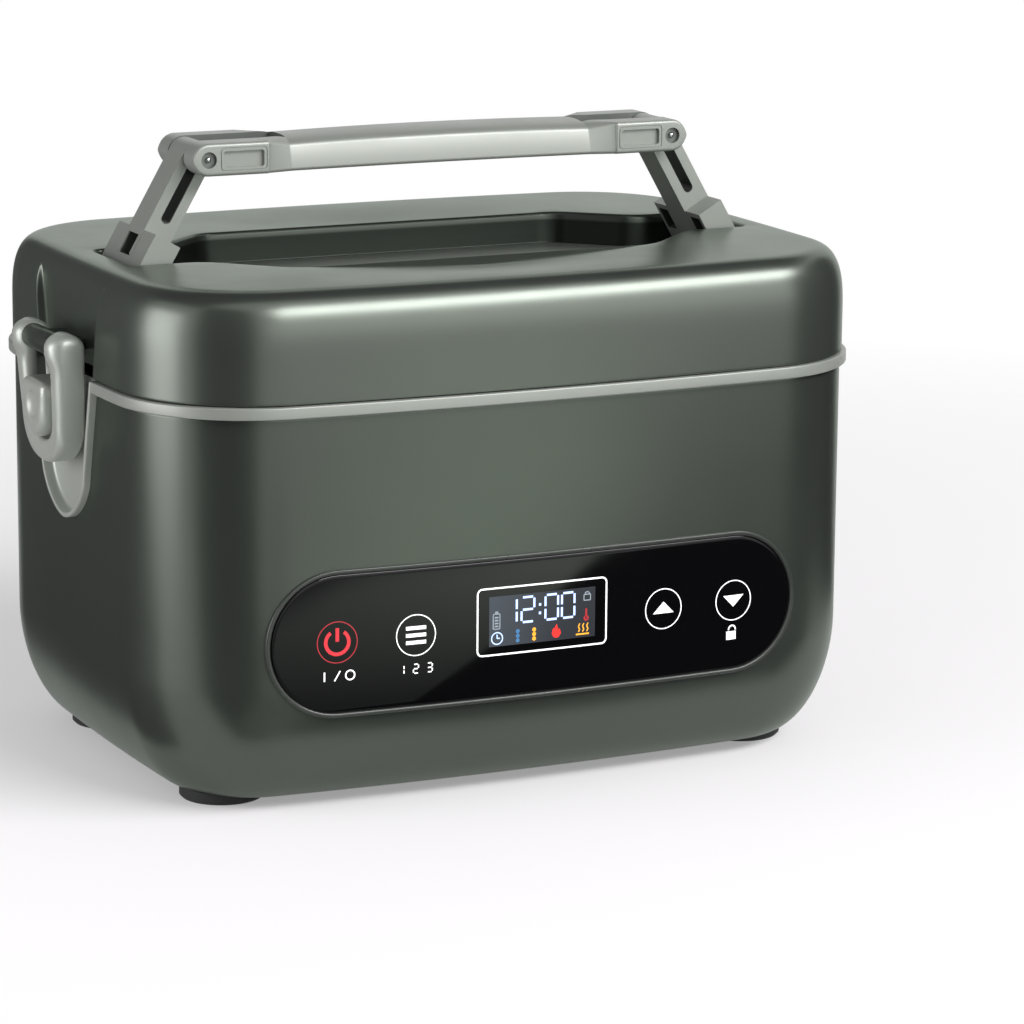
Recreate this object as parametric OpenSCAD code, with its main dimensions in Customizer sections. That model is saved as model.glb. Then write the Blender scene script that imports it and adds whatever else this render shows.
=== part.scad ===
// Electric lunch box: heated base, lift-off lid with two side latches and a carry handle that
// folds down into a recess in the lid. Millimetres, +Z up, front panel on -Y, origin at the
// middle of the feet's underside.

/* [Body] */
// Width of the base between its side walls
body_w = 238; // [220:1:260]
// Depth of the base between its front and back walls
body_d = 174.5; // [165:0.5:190]
// Height of the top edge of the base shell above the table
shell_top = 121.4; // [115:0.1:130]
// Plan radius of the four upright corners
corner_r = 41; // [38:1:46]
// Bow radius of the long front and back walls
front_bow_r = 1056; // [900:1:2000]
// Bow radius of the short side walls
side_bow_r = 1250; // [900:1:2000]
// Wall thickness of the base shell
wall = 2.6; // [2:0.1:3.2]
// How far the rounded bottom edge reaches inwards
bottom_round_w = 20; // [16:1:24]
// How far the rounded bottom edge reaches upwards
bottom_round_h = 37.5; // [28:0.5:42]
// Radius of a rubber foot
foot_r = 13; // [10:0.5:14]
// Height of a rubber foot
foot_h = 3; // [2:0.5:5]

/* [Rim band and latch shields] */
// Height of the band between base and lid
band_h = 3.6; // [3:0.1:6]
// How far the band stands out from the base wall
band_proud = 2; // [1:0.1:3]
// Half width of a latch shield at the band
shield_half_w = 26; // [24:0.5:30]
// Height of a latch shield below the top of the band
shield_h = 46; // [40:1:52]
// Depth of the hollow in a latch shield
shield_depth = 3.4; // [2:0.1:3.8]
// Half width of the catch boss
boss_half_w = 10.6; // [9:0.1:11]

/* [Lid] */
// Height of the lid shell
lid_h = 32.4; // [31:0.1:36]
// Wall thickness of the lid shell
lid_wall = 2.4; // [2:0.1:3]
// How far the lid's rounded top edge reaches inwards
lid_round_w = 10.7; // [8:0.1:14]
// How far the lid's rounded top edge reaches downwards
lid_round_h = 19.9; // [14:0.1:22]
// Depth of the handle recess below the lid's top
recess_depth = 10.7; // [10.4:0.1:12]
// Half width of the recess beside the grip
recess_half_w = 37; // [32:0.5:42]
// Half width of the recess around a strut's foot
well_half_w = 17; // [16.5:0.1:18]

/* [Side latches] */
// Half width of a latch bail over its arms
bail_half_w = 19.5; // [18.5:0.1:20.5]
// Width of one bail arm, seen from the side of the box
bail_arm_w = 8.3; // [7:0.1:8.4]
// Thickness of a bail arm, across the box's width
bail_arm_t = 8.8; // [7.6:0.1:8.8]
// Height of the bail's bottom bar
bail_bar_h = 6.8; // [5:0.1:7]
// Thickness of the bail's bottom bar
bail_bar_t = 3; // [2.4:0.1:3.4]
// Drop from the latch pin to the bottom of the bail
bail_drop = 36.8; // [36:0.1:40]
// Radius of a latch pin
latch_pin_r = 1.5; // [1:0.1:2]

/* [Handle] */
// Distance of a strut's pivot in from the base's side wall
pivot_inset = 20.6; // [19:0.1:22]
// Sideways distance from a strut's pivot to the grip's pin
strut_run = 20; // [19:0.1:20.5]
// Angle of a raised strut above the lid
strut_angle = 60; // [55:1:62]
// Thickness of the grip's end blocks
grip_h = 10; // [9:0.1:10.4]
// Depth of the grip, front to back
grip_d = 30; // [28:0.1:31]
// Width of the gap between a clevis's two ears
clevis_gap = 13.2; // [11:0.1:14]
// Thickness of a strut across its slot
strut_t = 9.5; // [8:0.1:9.6]
// Width of a strut's foot, front to back
strut_foot_w = 31; // [28:0.1:32]
// Radius of the handle's steel pins
handle_pin_r = 1.5; // [1:0.1:1.6]

/* [Front panel] */
// Width of the panel with its ring
panel_w = 175; // [160:1:180]
// Height of the panel with its ring
panel_h = 43; // [38:0.5:48]
// Height of the panel's middle above the table
panel_z = 53.4; // [50:0.1:58]
// Width of the ring around the panel
bezel_w = 1.4; // [1:0.1:3]
// Distance of the inner keys from the panel's middle
inner_key_x = 41.15; // [38:0.05:44]
// Distance of the outer keys from the panel's middle
outer_key_x = 65.9; // [62:0.1:68]
// Radius of a touch key
key_r = 6.3; // [5:0.1:7]
// Width of the display module
display_w = 47; // [40:1:50]
// Height of the display module
display_h = 25; // [20:1:28]

/* [Inside] */
// Distance from the base's outside face to the heating well's outside face
well_inset = 18; // [17:0.5:19]
// Wall thickness of the heating well
well_wall = 1.5; // [1.2:0.1:2]
// Height of the underside of the heating well
well_bottom = 50.5; // [48:0.1:54]
// Thickness of the food container's sheet steel
container_t = 0.8; // [0.6:0.1:1]
// Radius of a battery cell
cell_r = 9.2; // [9:0.1:9.4]
// Length of a battery cell
cell_l = 65; // [60:1:66]
// Thickness of a circuit board
board_t = 1.6; // [1:0.1:2]
// Radius of the power inlet's barrel
inlet_r = 5.4; // [4:0.1:6]

/* [Fits] */
// Gap between a moving piece and its neighbour
gap = 0.3; // [0.2:0.05:0.5]
// Gap around a piece that is seated for good
seat_gap = 0.1; // [0.05:0.05:0.2]
// Radial clearance of a pin that turns in its bore
pin_play = 0.05; // [0.02:0.01:0.1]

/* [Hidden] */

// smoothness of full circles and of the panel's bow, and steps around each part of the plan
round_fn = 72;
bow_fn = 1440;
corner_n = 12;
front_n = 6;
side_n = 4;
// roundness of the bottom edge and of the lid's edge: 2 is an ellipse, more is squarer
bottom_power = 1.9;
lid_power = 2.76;
edge_steps = 7;
through = 60;

// distance of the struts' pivots from the middle
pivot_x = body_w / 2 - pivot_inset;

// colours
shell_green = "#4a534c";
trim_grey = "#a9b1aa";
steel = "#c9ccce";
black = "#151716";
board_green = "#1f6b45";

// heights
band_top = shell_top + band_h;
lid_bottom = band_top + gap;
lid_top = lid_bottom + lid_h;
recess_floor = lid_top - recess_depth;
ledge_top = shell_top + band_h * 0.45;
flange_top = band_top - 0.4;
plate_bottom = well_bottom + well_wall;
plate_top = plate_bottom + 2.4;

// centre of a corner arc, tangent inside both bowed walls
bow_y = body_d / 2 - front_bow_r;
bow_x = body_w / 2 - side_bow_r;
bow_gap = norm([bow_x, bow_y]);
long_r = front_bow_r - corner_r;
short_r = side_bow_r - corner_r;
along = (long_r * long_r - short_r * short_r + bow_gap * bow_gap) / (2 * bow_gap);
across = sqrt(long_r * long_r - along * along);
corner_x = bow_x * along / bow_gap - bow_y * across / bow_gap;
corner_y = bow_y - bow_y * along / bow_gap - bow_x * across / bow_gap;
side_angle = atan2(corner_y, corner_x - bow_x);
long_angle = atan2(corner_y - bow_y, corner_x);

// Y of the front wall's face at x, where inset is measured inwards from the outside face
function front_y(x, inset = 0) = -bow_y - sqrt(pow(front_bow_r - inset, 2) - x * x);

// a rounded edge from upright wall to flat, reaching w inwards and h along the wall
function edge_curve(inset, w, h, power) = [for (i = [0:edge_steps])
    let (t = 90 * i / edge_steps)
    [inset + w * (1 - pow(cos(t), 2 / power)), h * pow(sin(t), 2 / power)]];

function reversed(list) = [for (i = [len(list) - 1:-1:0]) list[i]];

// outline with each corner of points rounded to its radius in radii
function unit(v) = v / norm(v);
function arc_points(p0, p1, p2, r, n = 6) =
    let (a = unit(p0 - p1), b = unit(p2 - p1), half = acos(a * b) / 2)
    let (c = p1 + unit(a + b) * r / sin(half), s = p1 + a * r / tan(half) - c,
        e = p1 + b * r / tan(half) - c)
    [for (i = [0:n]) c + r * unit(s * (n - i) / n + e * i / n)];
function rounded(points, radii) = [for (i = [0:len(points) - 1])
    each arc_points(points[(i + len(points) - 1) % len(points)], points[i],
        points[(i + 1) % len(points)], radii[i])];

// plan outline of the box, drawn in by inset from the outside face of the base
function arc(x, y, r, from, to, first, last, n) = [for (i = [first:last])
    let (t = from + (to - from) * i / n) [x + r * cos(t), y + r * sin(t)]];
function half_plan(inset) = concat(
    arc(corner_x, corner_y, corner_r - inset, side_angle, long_angle, 0, corner_n, corner_n),
    arc(0, bow_y, front_bow_r - inset, long_angle, 180 - long_angle, 1, front_n - 1, front_n),
    arc(-corner_x, corner_y, corner_r - inset, 180 - long_angle, 180 - side_angle, 0, corner_n,
        corner_n),
    arc(-bow_x, 0, side_bow_r - inset, 180 - side_angle, 180 + side_angle, 1, side_n - 1, side_n));
function plan(inset) = concat(half_plan(inset), -half_plan(inset));

// straight-walled solid of the box's plan, and a straight-walled ring
module slab(inset, low, high) {
    translate([0, 0, low]) linear_extrude(high - low) polygon(plan(inset));
}
module ring(outer, inner, low, high) {
    translate([0, 0, low]) linear_extrude(high - low) difference() {
        polygon(plan(outer));
        polygon(plan(inner));
    }
}
// solid of the box's plan whose side follows a profile of [inset, height] points, upwards
module block(points) {
    n = len(plan(0));
    m = len(points);
    polyhedron([for (p = points, q = plan(p.x)) [q.x, q.y, p.y]], concat(
        [[for (i = [0:n - 1]) i], [for (i = [0:n - 1]) n * m - 1 - i]],
        [for (j = [0:m - 2], i = [0:n - 1])
            let (k = (i + 1) % n) [n * j + i, n * j + n + i, n * j + n + k, n * j + k]]));
}

// upright box with rounded corners, centred on the Z axis
module round_box(half_x, half_y, r, low, high) {
    translate([0, 0, low]) linear_extrude(high - low) union() {
        square([2 * half_x, 2 * (half_y - r)], center = true);
        square([2 * (half_x - r), 2 * half_y], center = true);
        for (x = [-1, 1], y = [-1, 1]) translate([x * (half_x - r), y * (half_y - r)])
            circle(r, $fn = round_fn);
    }
}
// cylinder along Y from y0 to y1, through x and z
module y_rod(x, z, r, y0, y1) {
    translate([x, y0, z]) rotate([-90, 0, 0]) cylinder(r = r, h = y1 - y0, $fn = round_fn);
}
module both_sides() {
    children();
    mirror([1, 0, 0]) children();
}
// extrudes an outline of [y, z] points along X, from x0 outwards to x1 on the left side
module left_prism(x_outer, x_inner, points) {
    translate([-x_outer, 0, 0]) rotate([90, 0, 90]) linear_extrude(x_outer - x_inner)
        polygon(points);
}

// ---- base ----
base_edge = [for (p = edge_curve(0, bottom_round_w, bottom_round_h, bottom_power))
    [p.x, foot_h + bottom_round_h - p.y]];
inner_edge = [for (p = edge_curve(wall, bottom_round_w - 1, bottom_round_h - wall, bottom_power))
    [p.x, foot_h + bottom_round_h - p.y]];
foot_x = corner_x + 11.2;
foot_y = corner_y + 3.7;
foot_seat = 1;

cover_half_x = corner_x - 1.2;
cover_half_y = corner_y - 1.3;
cover_t = 2.4;
frame_top = foot_h + cover_t + 3;
cover_screw_x = cover_half_x - 4.5;
cover_screw_y = cover_half_y - 4.5;
screw_r = 1.25;

inlet_z = 42;
power_board_y = body_d / 2 - 12.8;
control_board_y = front_y(0) + 10.3;
power_board_w = 70;
power_board_h = 33;
power_screw_x = power_board_w / 2 - 7;
board_half_w = panel_w / 2 - 7.5;
board_half_h = panel_h / 2 - 1.5;
board_screw_x = board_half_w - 4;
board_screw_z = board_half_h - 3.5;
board_screw_r = 1;

// shield outline as [y, z] points, drawn in by inset
shield_round_z = 16;
shield_round_w = 19;
function shield_outline(inset) =
    let (tip_z = band_top - shield_h, w = shield_round_w - inset, h = shield_round_z - inset)
    let (right = concat([[shield_half_w - inset, band_top]], [for (i = [0:9])
        let (t = 10 * i) [w * pow(cos(t), 2 / 1.7), tip_z + shield_round_z - h * pow(sin(t), 2 / 1.7)]]))
    concat(right, [[0, tip_z + inset]], [for (p = reversed(right)) [-p.x, p.y]]);
shield_face_x = body_w / 2 + band_proud + 0.2;
shield_floor_x = shield_face_x - shield_depth;
shield_back_x = body_w / 2 - wall - 2;

// latch: pin axis, bail and boss
latch_x = shield_face_x + gap + bail_arm_t / 2 + 0.1;
latch_z = band_top + 8.8;
knuckle_r = 3.2;
bail_face_x = latch_x + bail_arm_t / 2;
bar_top = latch_z - bail_drop + bail_bar_h;
boss_face_x = bail_face_x - bail_bar_t - gap;
boss_bottom = bar_top + 0.5;
boss_top = band_top - 1.6;

module stadium(half_w, half_h, low, high) {
    // outline in X and Z, extruded along Y from low to high
    translate([0, high, panel_z]) rotate([90, 0, 0]) linear_extrude(high - low) union() {
        square([2 * (half_w - half_h), 2 * half_h], center = true);
        for (x = [-1, 1]) translate([x * (half_w - half_h), 0]) circle(half_h, $fn = round_fn);
    }
}
// part of the bowed front wall between two insets
module front_skin(outer_inset, inner_inset, low, high) {
    translate([0, -bow_y, 0]) rotate([0, 0, 180]) rotate([0, 0, long_angle - 2])
        rotate_extrude(angle = 184 - 2 * long_angle, $fn = bow_fn)
        translate([front_bow_r - inner_inset, low]) square([inner_inset - outer_inset, high - low]);
}

panel_low = panel_z - panel_h / 2 - 2;
panel_high = panel_z + panel_h / 2 + 2;
lens_back = 1.2;
lip_w = 3;

module outer_shell() {
    color(shell_green) difference() {
        block(concat(reversed(base_edge), [[0, shell_top]]));
        difference() {
            block(concat(reversed(inner_edge), [[wall, shell_top + 1]]));
            round_box(cover_half_x + 4, cover_half_y + 4, 10, foot_h, frame_top);
            for (x = [-1, 0, 1], y = [-1, 1]) translate([x * cover_screw_x, y * cover_screw_y, foot_h])
                cylinder(r = 3, h = 9, $fn = round_fn);
            for (x = [-1, 1], z = [-1, 1])
                y_rod(x * board_screw_x, panel_z + z * board_screw_z, 3.2,
                    front_y(0), control_board_y - board_t);
            for (x = [-1, 1]) y_rod(x * power_screw_x, inlet_z, 3, power_board_y, body_d / 2);
        }
        for (x = [-1, 1]) y_rod(x * power_screw_x, inlet_z, board_screw_r + 0.05, power_board_y - 1,
            power_board_y + 6);
        // opening and rebate of the battery compartment
        round_box(cover_half_x - 8, cover_half_y - 8, 6, foot_h - 1, frame_top + 1);
        round_box(cover_half_x + seat_gap, cover_half_y + seat_gap, 8, foot_h - 1, foot_h + cover_t);
        for (x = [-1, 0, 1], y = [-1, 1]) translate([x * cover_screw_x, y * cover_screw_y, foot_h - 1])
            cylinder(r = screw_r, h = 8, $fn = round_fn);
        // seats of the feet
        for (x = [-1, 1], y = [-1, 1]) translate([x * foot_x, y * foot_y, foot_h - 1])
            cylinder(r = foot_r + seat_gap, h = 1 + foot_seat, $fn = round_fn);
        // seat and window of the front panel
        intersection() {
            stadium(panel_w / 2 + seat_gap, panel_h / 2 + seat_gap, -body_d, 0);
            front_skin(-5, lens_back + seat_gap, panel_low, panel_high);
        }
        stadium(panel_w / 2 - lip_w, panel_h / 2 - lip_w, -body_d, -body_d / 2 + 12);
        for (x = [-1, 1], z = [-1, 1])
            y_rod(x * board_screw_x, panel_z + z * board_screw_z, board_screw_r + 0.05,
                control_board_y - board_t - 5, control_board_y);
        // openings behind the latch shields
        both_sides() left_prism(body_w / 2 + 5, body_w / 2 - wall - 3, shield_outline(-seat_gap));
        // hole of the power inlet
        y_rod(0, inlet_z, inlet_r + seat_gap, body_d / 2 - 10, body_d / 2 + 5);
    }
}

module bottom_cover() {
    color(shell_green) difference() {
        round_box(cover_half_x, cover_half_y, 8, foot_h, foot_h + cover_t - seat_gap);
        for (x = [-1, 0, 1], y = [-1, 1]) translate([x * cover_screw_x, y * cover_screw_y, foot_h - 1]) {
            cylinder(r = screw_r + seat_gap, h = 5, $fn = round_fn);
            cylinder(r = 2.6, h = 2.2, $fn = round_fn);
        }
    }
}

module cover_screws() {
    color(steel) for (x = [-1, 0, 1], y = [-1, 1])
        translate([x * cover_screw_x, y * cover_screw_y, foot_h]) difference() {
            union() {
                translate([0, 0, 0.2]) cylinder(r = 2.4, h = 1, $fn = round_fn);
                translate([0, 0, 1]) cylinder(r = screw_r, h = 5.6, $fn = round_fn);
            }
            for (turn = [0, 90]) rotate([0, 0, turn])
                translate([-1.4, -0.3, -1]) cube([2.8, 0.6, 1.8]);
        }
}

module rubber_feet() {
    color(black) for (x = [-1, 1], y = [-1, 1]) translate([x * foot_x, y * foot_y, 0])
        rotate_extrude($fn = round_fn) polygon([[0, 0], [foot_r - 0.8, 0], [foot_r, 0.8],
            [foot_r, foot_h + foot_seat], [0, foot_h + foot_seat]]);
}

module rim_band() {
    color(trim_grey) difference() {
        union() {
            ring(-band_proud, 9, shell_top, band_top);
            ring(8, 14, shell_top, ledge_top);
            ring(wall + seat_gap, wall + 1.8, shell_top - 4, shell_top + 1);
            both_sides() left_prism(shield_face_x, shield_back_x, shield_outline(0));
        }
        both_sides() left_prism(shield_face_x + 1, shield_floor_x,
            [for (p = shield_outline(1.5)) [p.x, p.y >= band_top ? p.y + 1 : p.y]]);
    }
    color(trim_grey) both_sides() catch_boss();
}

// boss that fills the bail's window
module catch_boss() {
    turn_z = boss_bottom + boss_half_w;
    slant = 2;
    difference() {
        union() {
            translate([-shield_floor_x - 0.01, 0, turn_z]) rotate([0, -90, 0])
                cylinder(r = boss_half_w, h = boss_face_x - shield_floor_x, $fn = round_fn);
            left_prism(boss_face_x, shield_floor_x - 0.01, [[-boss_half_w, turn_z],
                [boss_half_w, turn_z], [boss_half_w, boss_top - slant], [boss_half_w - 2, boss_top],
                [2 - boss_half_w, boss_top], [-boss_half_w, boss_top - slant]]);
        }
        // finger dimple
        translate([-boss_face_x - 5, 0, boss_top - 7.5]) sphere(r = 6.2, $fn = round_fn);
    }
}

module heating_well() {
    inner = well_inset + well_wall;
    color("#2b2e2c") difference() {
        union() {
            difference() {
                slab(well_inset, well_bottom, flange_top);
                slab(inner, well_bottom + well_wall, flange_top + 1);
            }
            ring(9 + seat_gap, well_inset + 1, ledge_top, flange_top);
        }
        round_box(plate_half_x - 6, plate_half_y - 6, 8, well_bottom - 1, plate_bottom + 1);
    }
}

plate_half_x = 82;
plate_half_y = 52;
spigot_bottom = well_bottom - 0.7;
element_t = 1.9;
element_bottom = spigot_bottom - 0.1 - element_t;
pad_top = element_bottom - 0.2;
pad_h = 9.6;
element_pitch = 16;
element_w = 7;

module heating_plate() {
    color(steel) union() {
        round_box(plate_half_x, plate_half_y, 14, plate_bottom, plate_top);
        round_box(plate_half_x - 6 - seat_gap, plate_half_y - 6 - seat_gap, 8, spigot_bottom,
            plate_bottom + 0.5);
    }
}

module heater_element() {
    // flat serpentine track: five long bars joined at alternate ends
    length = 2 * (plate_half_x - 16);
    color("#b87333") translate([-length / 2, 0, element_bottom]) union() {
        for (i = [-2:2]) translate([0, i * element_pitch - element_w / 2, 0])
            cube([length, element_w, element_t]);
        for (i = [-2:1]) translate([(i % 2 == 0) ? 0 : length - element_w,
                i * element_pitch - element_w / 2, 0])
            cube([element_w, element_pitch + element_w, element_t]);
    }
}

fuse_y = element_pitch / 2;
fuse_r = 2;
fuse_l = 12;
sensor_x = 32;
sensor_r = 3;
lead_x = plate_half_x - 20;
lead_r = 0.8;
lead_y = [-2 * element_pitch, 2 * element_pitch];

module insulation_pad() {
    color("#d8d2c0") difference() {
        round_box(plate_half_x + 2, plate_half_y + 2, 14, pad_top - pad_h, pad_top);
        translate([-fuse_l / 2 - 0.5, fuse_y - fuse_r - 0.5, pad_top - 3])
            cube([fuse_l + 1, 2 * fuse_r + 1, 4]);
        translate([sensor_x, fuse_y, pad_top - 5]) cylinder(r = sensor_r + 0.2, h = 6, $fn = round_fn);
        for (y = lead_y) translate([lead_x, y, pad_top - pad_h - 1])
            cylinder(r = lead_r + 0.3, h = pad_h + 2, $fn = round_fn);
    }
}

module thermal_fuse() {
    color("#8c3b2e") translate([-fuse_l / 2, fuse_y, spigot_bottom - 0.1 - fuse_r])
        rotate([0, 90, 0]) cylinder(r = fuse_r, h = fuse_l, $fn = round_fn);
}

module temperature_sensor() {
    color("#d9d9d4") translate([sensor_x, fuse_y, pad_top - 4.9])
        cylinder(r = sensor_r, h = spigot_bottom - 0.1 - pad_top + 4.9, $fn = round_fn);
}

cell_pitch = 2 * cell_r + 0.6;
holder_floor = frame_top + 0.1;
cell_z = holder_floor + 2 + cell_r + 0.1;
holder_half_x = cell_l + 3.6;
holder_half_y = 1.5 * cell_pitch + 1.9;

module battery_holder() {
    color(black) difference() {
        translate([-holder_half_x, -holder_half_y, holder_floor])
            cube([2 * holder_half_x, 2 * holder_half_y, cell_z + 5 - holder_floor]);
        translate([2 - holder_half_x, 2 - holder_half_y, holder_floor + 2])
            cube([2 * holder_half_x - 4, 2 * holder_half_y - 4, 3 * cell_r]);
    }
}

module battery_cells() {
    color("#2f6fb3") for (x = [-cell_l - 0.4, 0.4], y = [-1:1])
        translate([x, y * cell_pitch, cell_z]) rotate([0, 90, 0])
            cylinder(r = cell_r, h = cell_l, $fn = round_fn);
}

module battery_tabs() {
    color(steel) both_sides() translate([cell_l + 0.5, -cell_pitch - 4, cell_z - 4])
        cube([0.4, 2 * cell_pitch + 8, 8]);
    color(steel) for (y = [-1:1]) translate([-0.3, y * cell_pitch - 4, cell_z - 4]) cube([0.6, 8, 8]);
}

module power_board() {
    color(board_green) difference() {
        translate([-power_board_w / 2, power_board_y - board_t, inlet_z + 7 - power_board_h])
            cube([power_board_w, board_t, power_board_h]);
        for (x = [-1, 1]) y_rod(x * power_screw_x, inlet_z, board_screw_r + 0.1,
            power_board_y - 5, power_board_y + 5);
    }
}

inlet_bore_r = 3.2;
inlet_body_w = 2 * inlet_r + 3.2;
inlet_body_h = 2 * inlet_r + 2.2;
module dc_inlet() {
    color(black) difference() {
        union() {
            translate([-inlet_body_w / 2, power_board_y + 0.05, inlet_z - inlet_body_h / 2])
                cube([inlet_body_w, body_d / 2 - wall - 0.6 - power_board_y, inlet_body_h]);
            y_rod(0, inlet_z, inlet_r, power_board_y + 5, body_d / 2 - 0.4);
        }
        y_rod(0, inlet_z, inlet_bore_r, power_board_y + 2.5, body_d / 2 + 1);
    }
}

module inlet_contact() {
    color(steel) y_rod(0, inlet_z, 1, power_board_y + 2.5, body_d / 2 - 2);
}

module control_board() {
    color(board_green) difference() {
        translate([-board_half_w, control_board_y - board_t, panel_z - board_half_h])
            cube([2 * board_half_w, board_t, 2 * board_half_h]);
        for (x = [-1, 1], z = [-1, 1]) y_rod(x * board_screw_x, panel_z + z * board_screw_z,
            board_screw_r + 0.1, control_board_y - 5, control_board_y + 5);
    }
}

module board_screws() {
    color(steel) {
        for (x = [-1, 1], z = [-1, 1]) {
            y_rod(x * board_screw_x, panel_z + z * board_screw_z, board_screw_r,
                control_board_y - 6, control_board_y + 0.5);
            y_rod(x * board_screw_x, panel_z + z * board_screw_z, 2.2, control_board_y,
                control_board_y + 1.4);
        }
        for (x = [-1, 1]) {
            y_rod(x * power_screw_x, inlet_z, board_screw_r, power_board_y - board_t - 0.5, power_board_y + 5.5);
            y_rod(x * power_screw_x, inlet_z, 2.2, power_board_y - board_t - 1.4, power_board_y - board_t);
        }
    }
}

display_z = panel_z + 2.3;
module display_module() {
    front = front_y(display_w / 2, lens_back) + 0.1;
    color(black) translate([-display_w / 2, front, display_z - display_h / 2])
        cube([display_w, control_board_y - board_t - 0.05 - front, display_h]);
}

module touch_pads() {
    color("#8d8f8e") for (x = [-outer_key_x, -inner_key_x, inner_key_x, outer_key_x]) {
        front = front_y(abs(x) + key_r, lens_back) + 0.1;
        y_rod(x, panel_z + 0.5, key_r - 1, front, control_board_y - board_t - 0.05);
    }
}

module control_panel() {
    color("#0b0c0c") intersection() {
        stadium(panel_w / 2 - bezel_w - 0.05, panel_h / 2 - bezel_w - 0.05, -body_d, 0);
        front_skin(-0.4, lens_back, panel_low, panel_high);
    }
}

module panel_bezel() {
    color("#7d827e") intersection() {
        difference() {
            stadium(panel_w / 2, panel_h / 2, -body_d, 0);
            stadium(panel_w / 2 - bezel_w, panel_h / 2 - bezel_w, -body_d - 1, 1);
        }
        front_skin(-0.8, lens_back, panel_low, panel_high);
    }
}

wire_z = 36;
wire_r = 0.9;
wire_x = [18, 22, 26];
module internal_wires() {
    board_back = control_board_y + 0.05;
    color("#b3261e") {
        for (x = wire_x) y_rod(x, wire_z, wire_r, board_back, power_board_y - board_t - 0.05);
        for (y = lead_y) {
            translate([lead_x, y, wire_z]) cylinder(r = lead_r, h = element_bottom - 0.05 - wire_z,
                $fn = round_fn);
            y_rod(lead_x, wire_z, lead_r, board_back, y);
            translate([lead_x, y, wire_z]) sphere(r = lead_r, $fn = round_fn);
        }
    }
    color("white") {
        translate([wire_x[0] - 2, board_back, wire_z - 2.4]) cube([12, 5, 4.8]);
        translate([wire_x[0] - 2, power_board_y - board_t - 5.05, wire_z - 2.4]) cube([12, 5, 4.8]);
        translate([lead_x - 3, board_back, wire_z - 2.4]) cube([6, 5, 4.8]);
    }
}

container_rim_z = flange_top - 6;
container_inset = well_inset + well_wall + 6.4;
step_z = container_rim_z - 18;
module food_container() {
    low = plate_top + 0.2;
    a = container_inset;
    b = container_inset + 2;
    t = container_t;
    color(steel) union() {
        difference() {
            block([[b + 6, low], [b + 3, low + 1], [b + 1, low + 3], [b, low + 6], [b, step_z],
                [a, step_z + 1.4], [a, container_rim_z]]);
            block([[b + 6 + t, low + t], [b + 3 + t, low + 1 + t], [b + 1 + t, low + 3 + t],
                [b + t, low + 6 + t], [b + t, step_z + t], [a + t, step_z + 1.4 + t],
                [a + t, container_rim_z + 1]]);
        }
        ring(a - 5, a + t / 2, container_rim_z - t, container_rim_z);
        ring(a - 5, a - 5 + t, container_rim_z - 1.8, container_rim_z);
    }
}

// ---- lid ----
lid_inset = -0.6;
lid_edge = [for (p = edge_curve(lid_inset, lid_round_w, lid_round_h, lid_power))
    [p.x, lid_top - lid_round_h + p.y]];
lid_inner_edge = [for (p = edge_curve(lid_inset + lid_wall, lid_round_w - lid_wall / 2,
    lid_round_h - lid_wall, lid_power)) [p.x, lid_top - lid_round_h + p.y]];
well_end_x = pivot_x + 6.1;
recess_x = well_end_x - 43.5;
taper_x = well_end_x - 22.5;
function recess_outline(grow) =
    let (corners = [[recess_x, recess_half_w + grow], [taper_x + grow * 0.4, well_half_w + grow],
        [well_end_x + grow, well_half_w + grow]])
    let (right = concat(corners, [for (p = reversed(corners)) [p.x, -p.y]]))
    concat(right, [for (p = reversed(right)) [-p.x, p.y]]);
recess_radii = [30, 30, 3, 3, 30, 30, 30, 30, 3, 3, 30, 30];

pocket_x = body_w / 2 - 3.5;
pocket_top = lid_top - 2.2;
function pocket_outline(grow) = [[28 + grow, pocket_top + grow], [22.5 + grow, lid_bottom - 1],
    [-22.5 - grow, lid_bottom - 1], [-28 - grow, pocket_top + grow]];

pivot_z = recess_floor + 6;
panel_flange = lid_bottom + 0.7;
panel_flange_t = 2;
post_r = 3.5;
post_inset = 11;
corner_post = (corner_r - post_inset) * [cos(45), sin(45)];
lid_posts = [for (x = [-1, 1], y = [-1, 1]) [x * (corner_x + corner_post.x), y * (corner_y + corner_post.y)],
    [0, body_d / 2 - post_inset], [0, post_inset - body_d / 2]];

module lid_shell() {
    color(shell_green) difference() {
        union() {
            difference() {
                block(concat([[lid_inset, lid_bottom]], lid_edge));
                difference() {
                    block(concat([[lid_inset + lid_wall, lid_bottom - 1]], lid_inner_edge));
                    translate([0, 0, recess_floor - lid_wall]) linear_extrude(through)
                        polygon(rounded(recess_outline(lid_wall), recess_radii));
                    both_sides() left_prism(body_w / 2 + 3, pocket_x - lid_wall, pocket_outline(lid_wall));
                    for (p = lid_posts) translate([p.x, p.y, panel_flange + panel_flange_t])
                        cylinder(r = post_r, h = lid_h, $fn = round_fn);
                }
                translate([0, 0, recess_floor]) linear_extrude(through)
                    polygon(rounded(recess_outline(0), recess_radii));
                both_sides() left_prism(body_w / 2 + 10, pocket_x, pocket_outline(0));
            }
            // knuckles that carry the latch pins
            both_sides() {
                y_rod(-latch_x, latch_z, knuckle_r, -knuckle_half_w, knuckle_half_w);
                translate([-latch_x, -knuckle_half_w, latch_z - 1.6])
                    cube([latch_x - pocket_x + 1, 2 * knuckle_half_w, 3.2]);
            }
        }
        both_sides() y_rod(-latch_x, latch_z, latch_pin_r, -through, through);
        both_sides() y_rod(-pivot_x, pivot_z, handle_pin_r, -well_half_w - lid_wall - 1,
            well_half_w + lid_wall + 1);
        for (p = lid_posts) translate([p.x, p.y, panel_flange]) cylinder(r = 1.2, h = 16, $fn = round_fn);
    }
}
knuckle_half_w = bail_half_w - bail_arm_w - 0.5;

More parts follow.
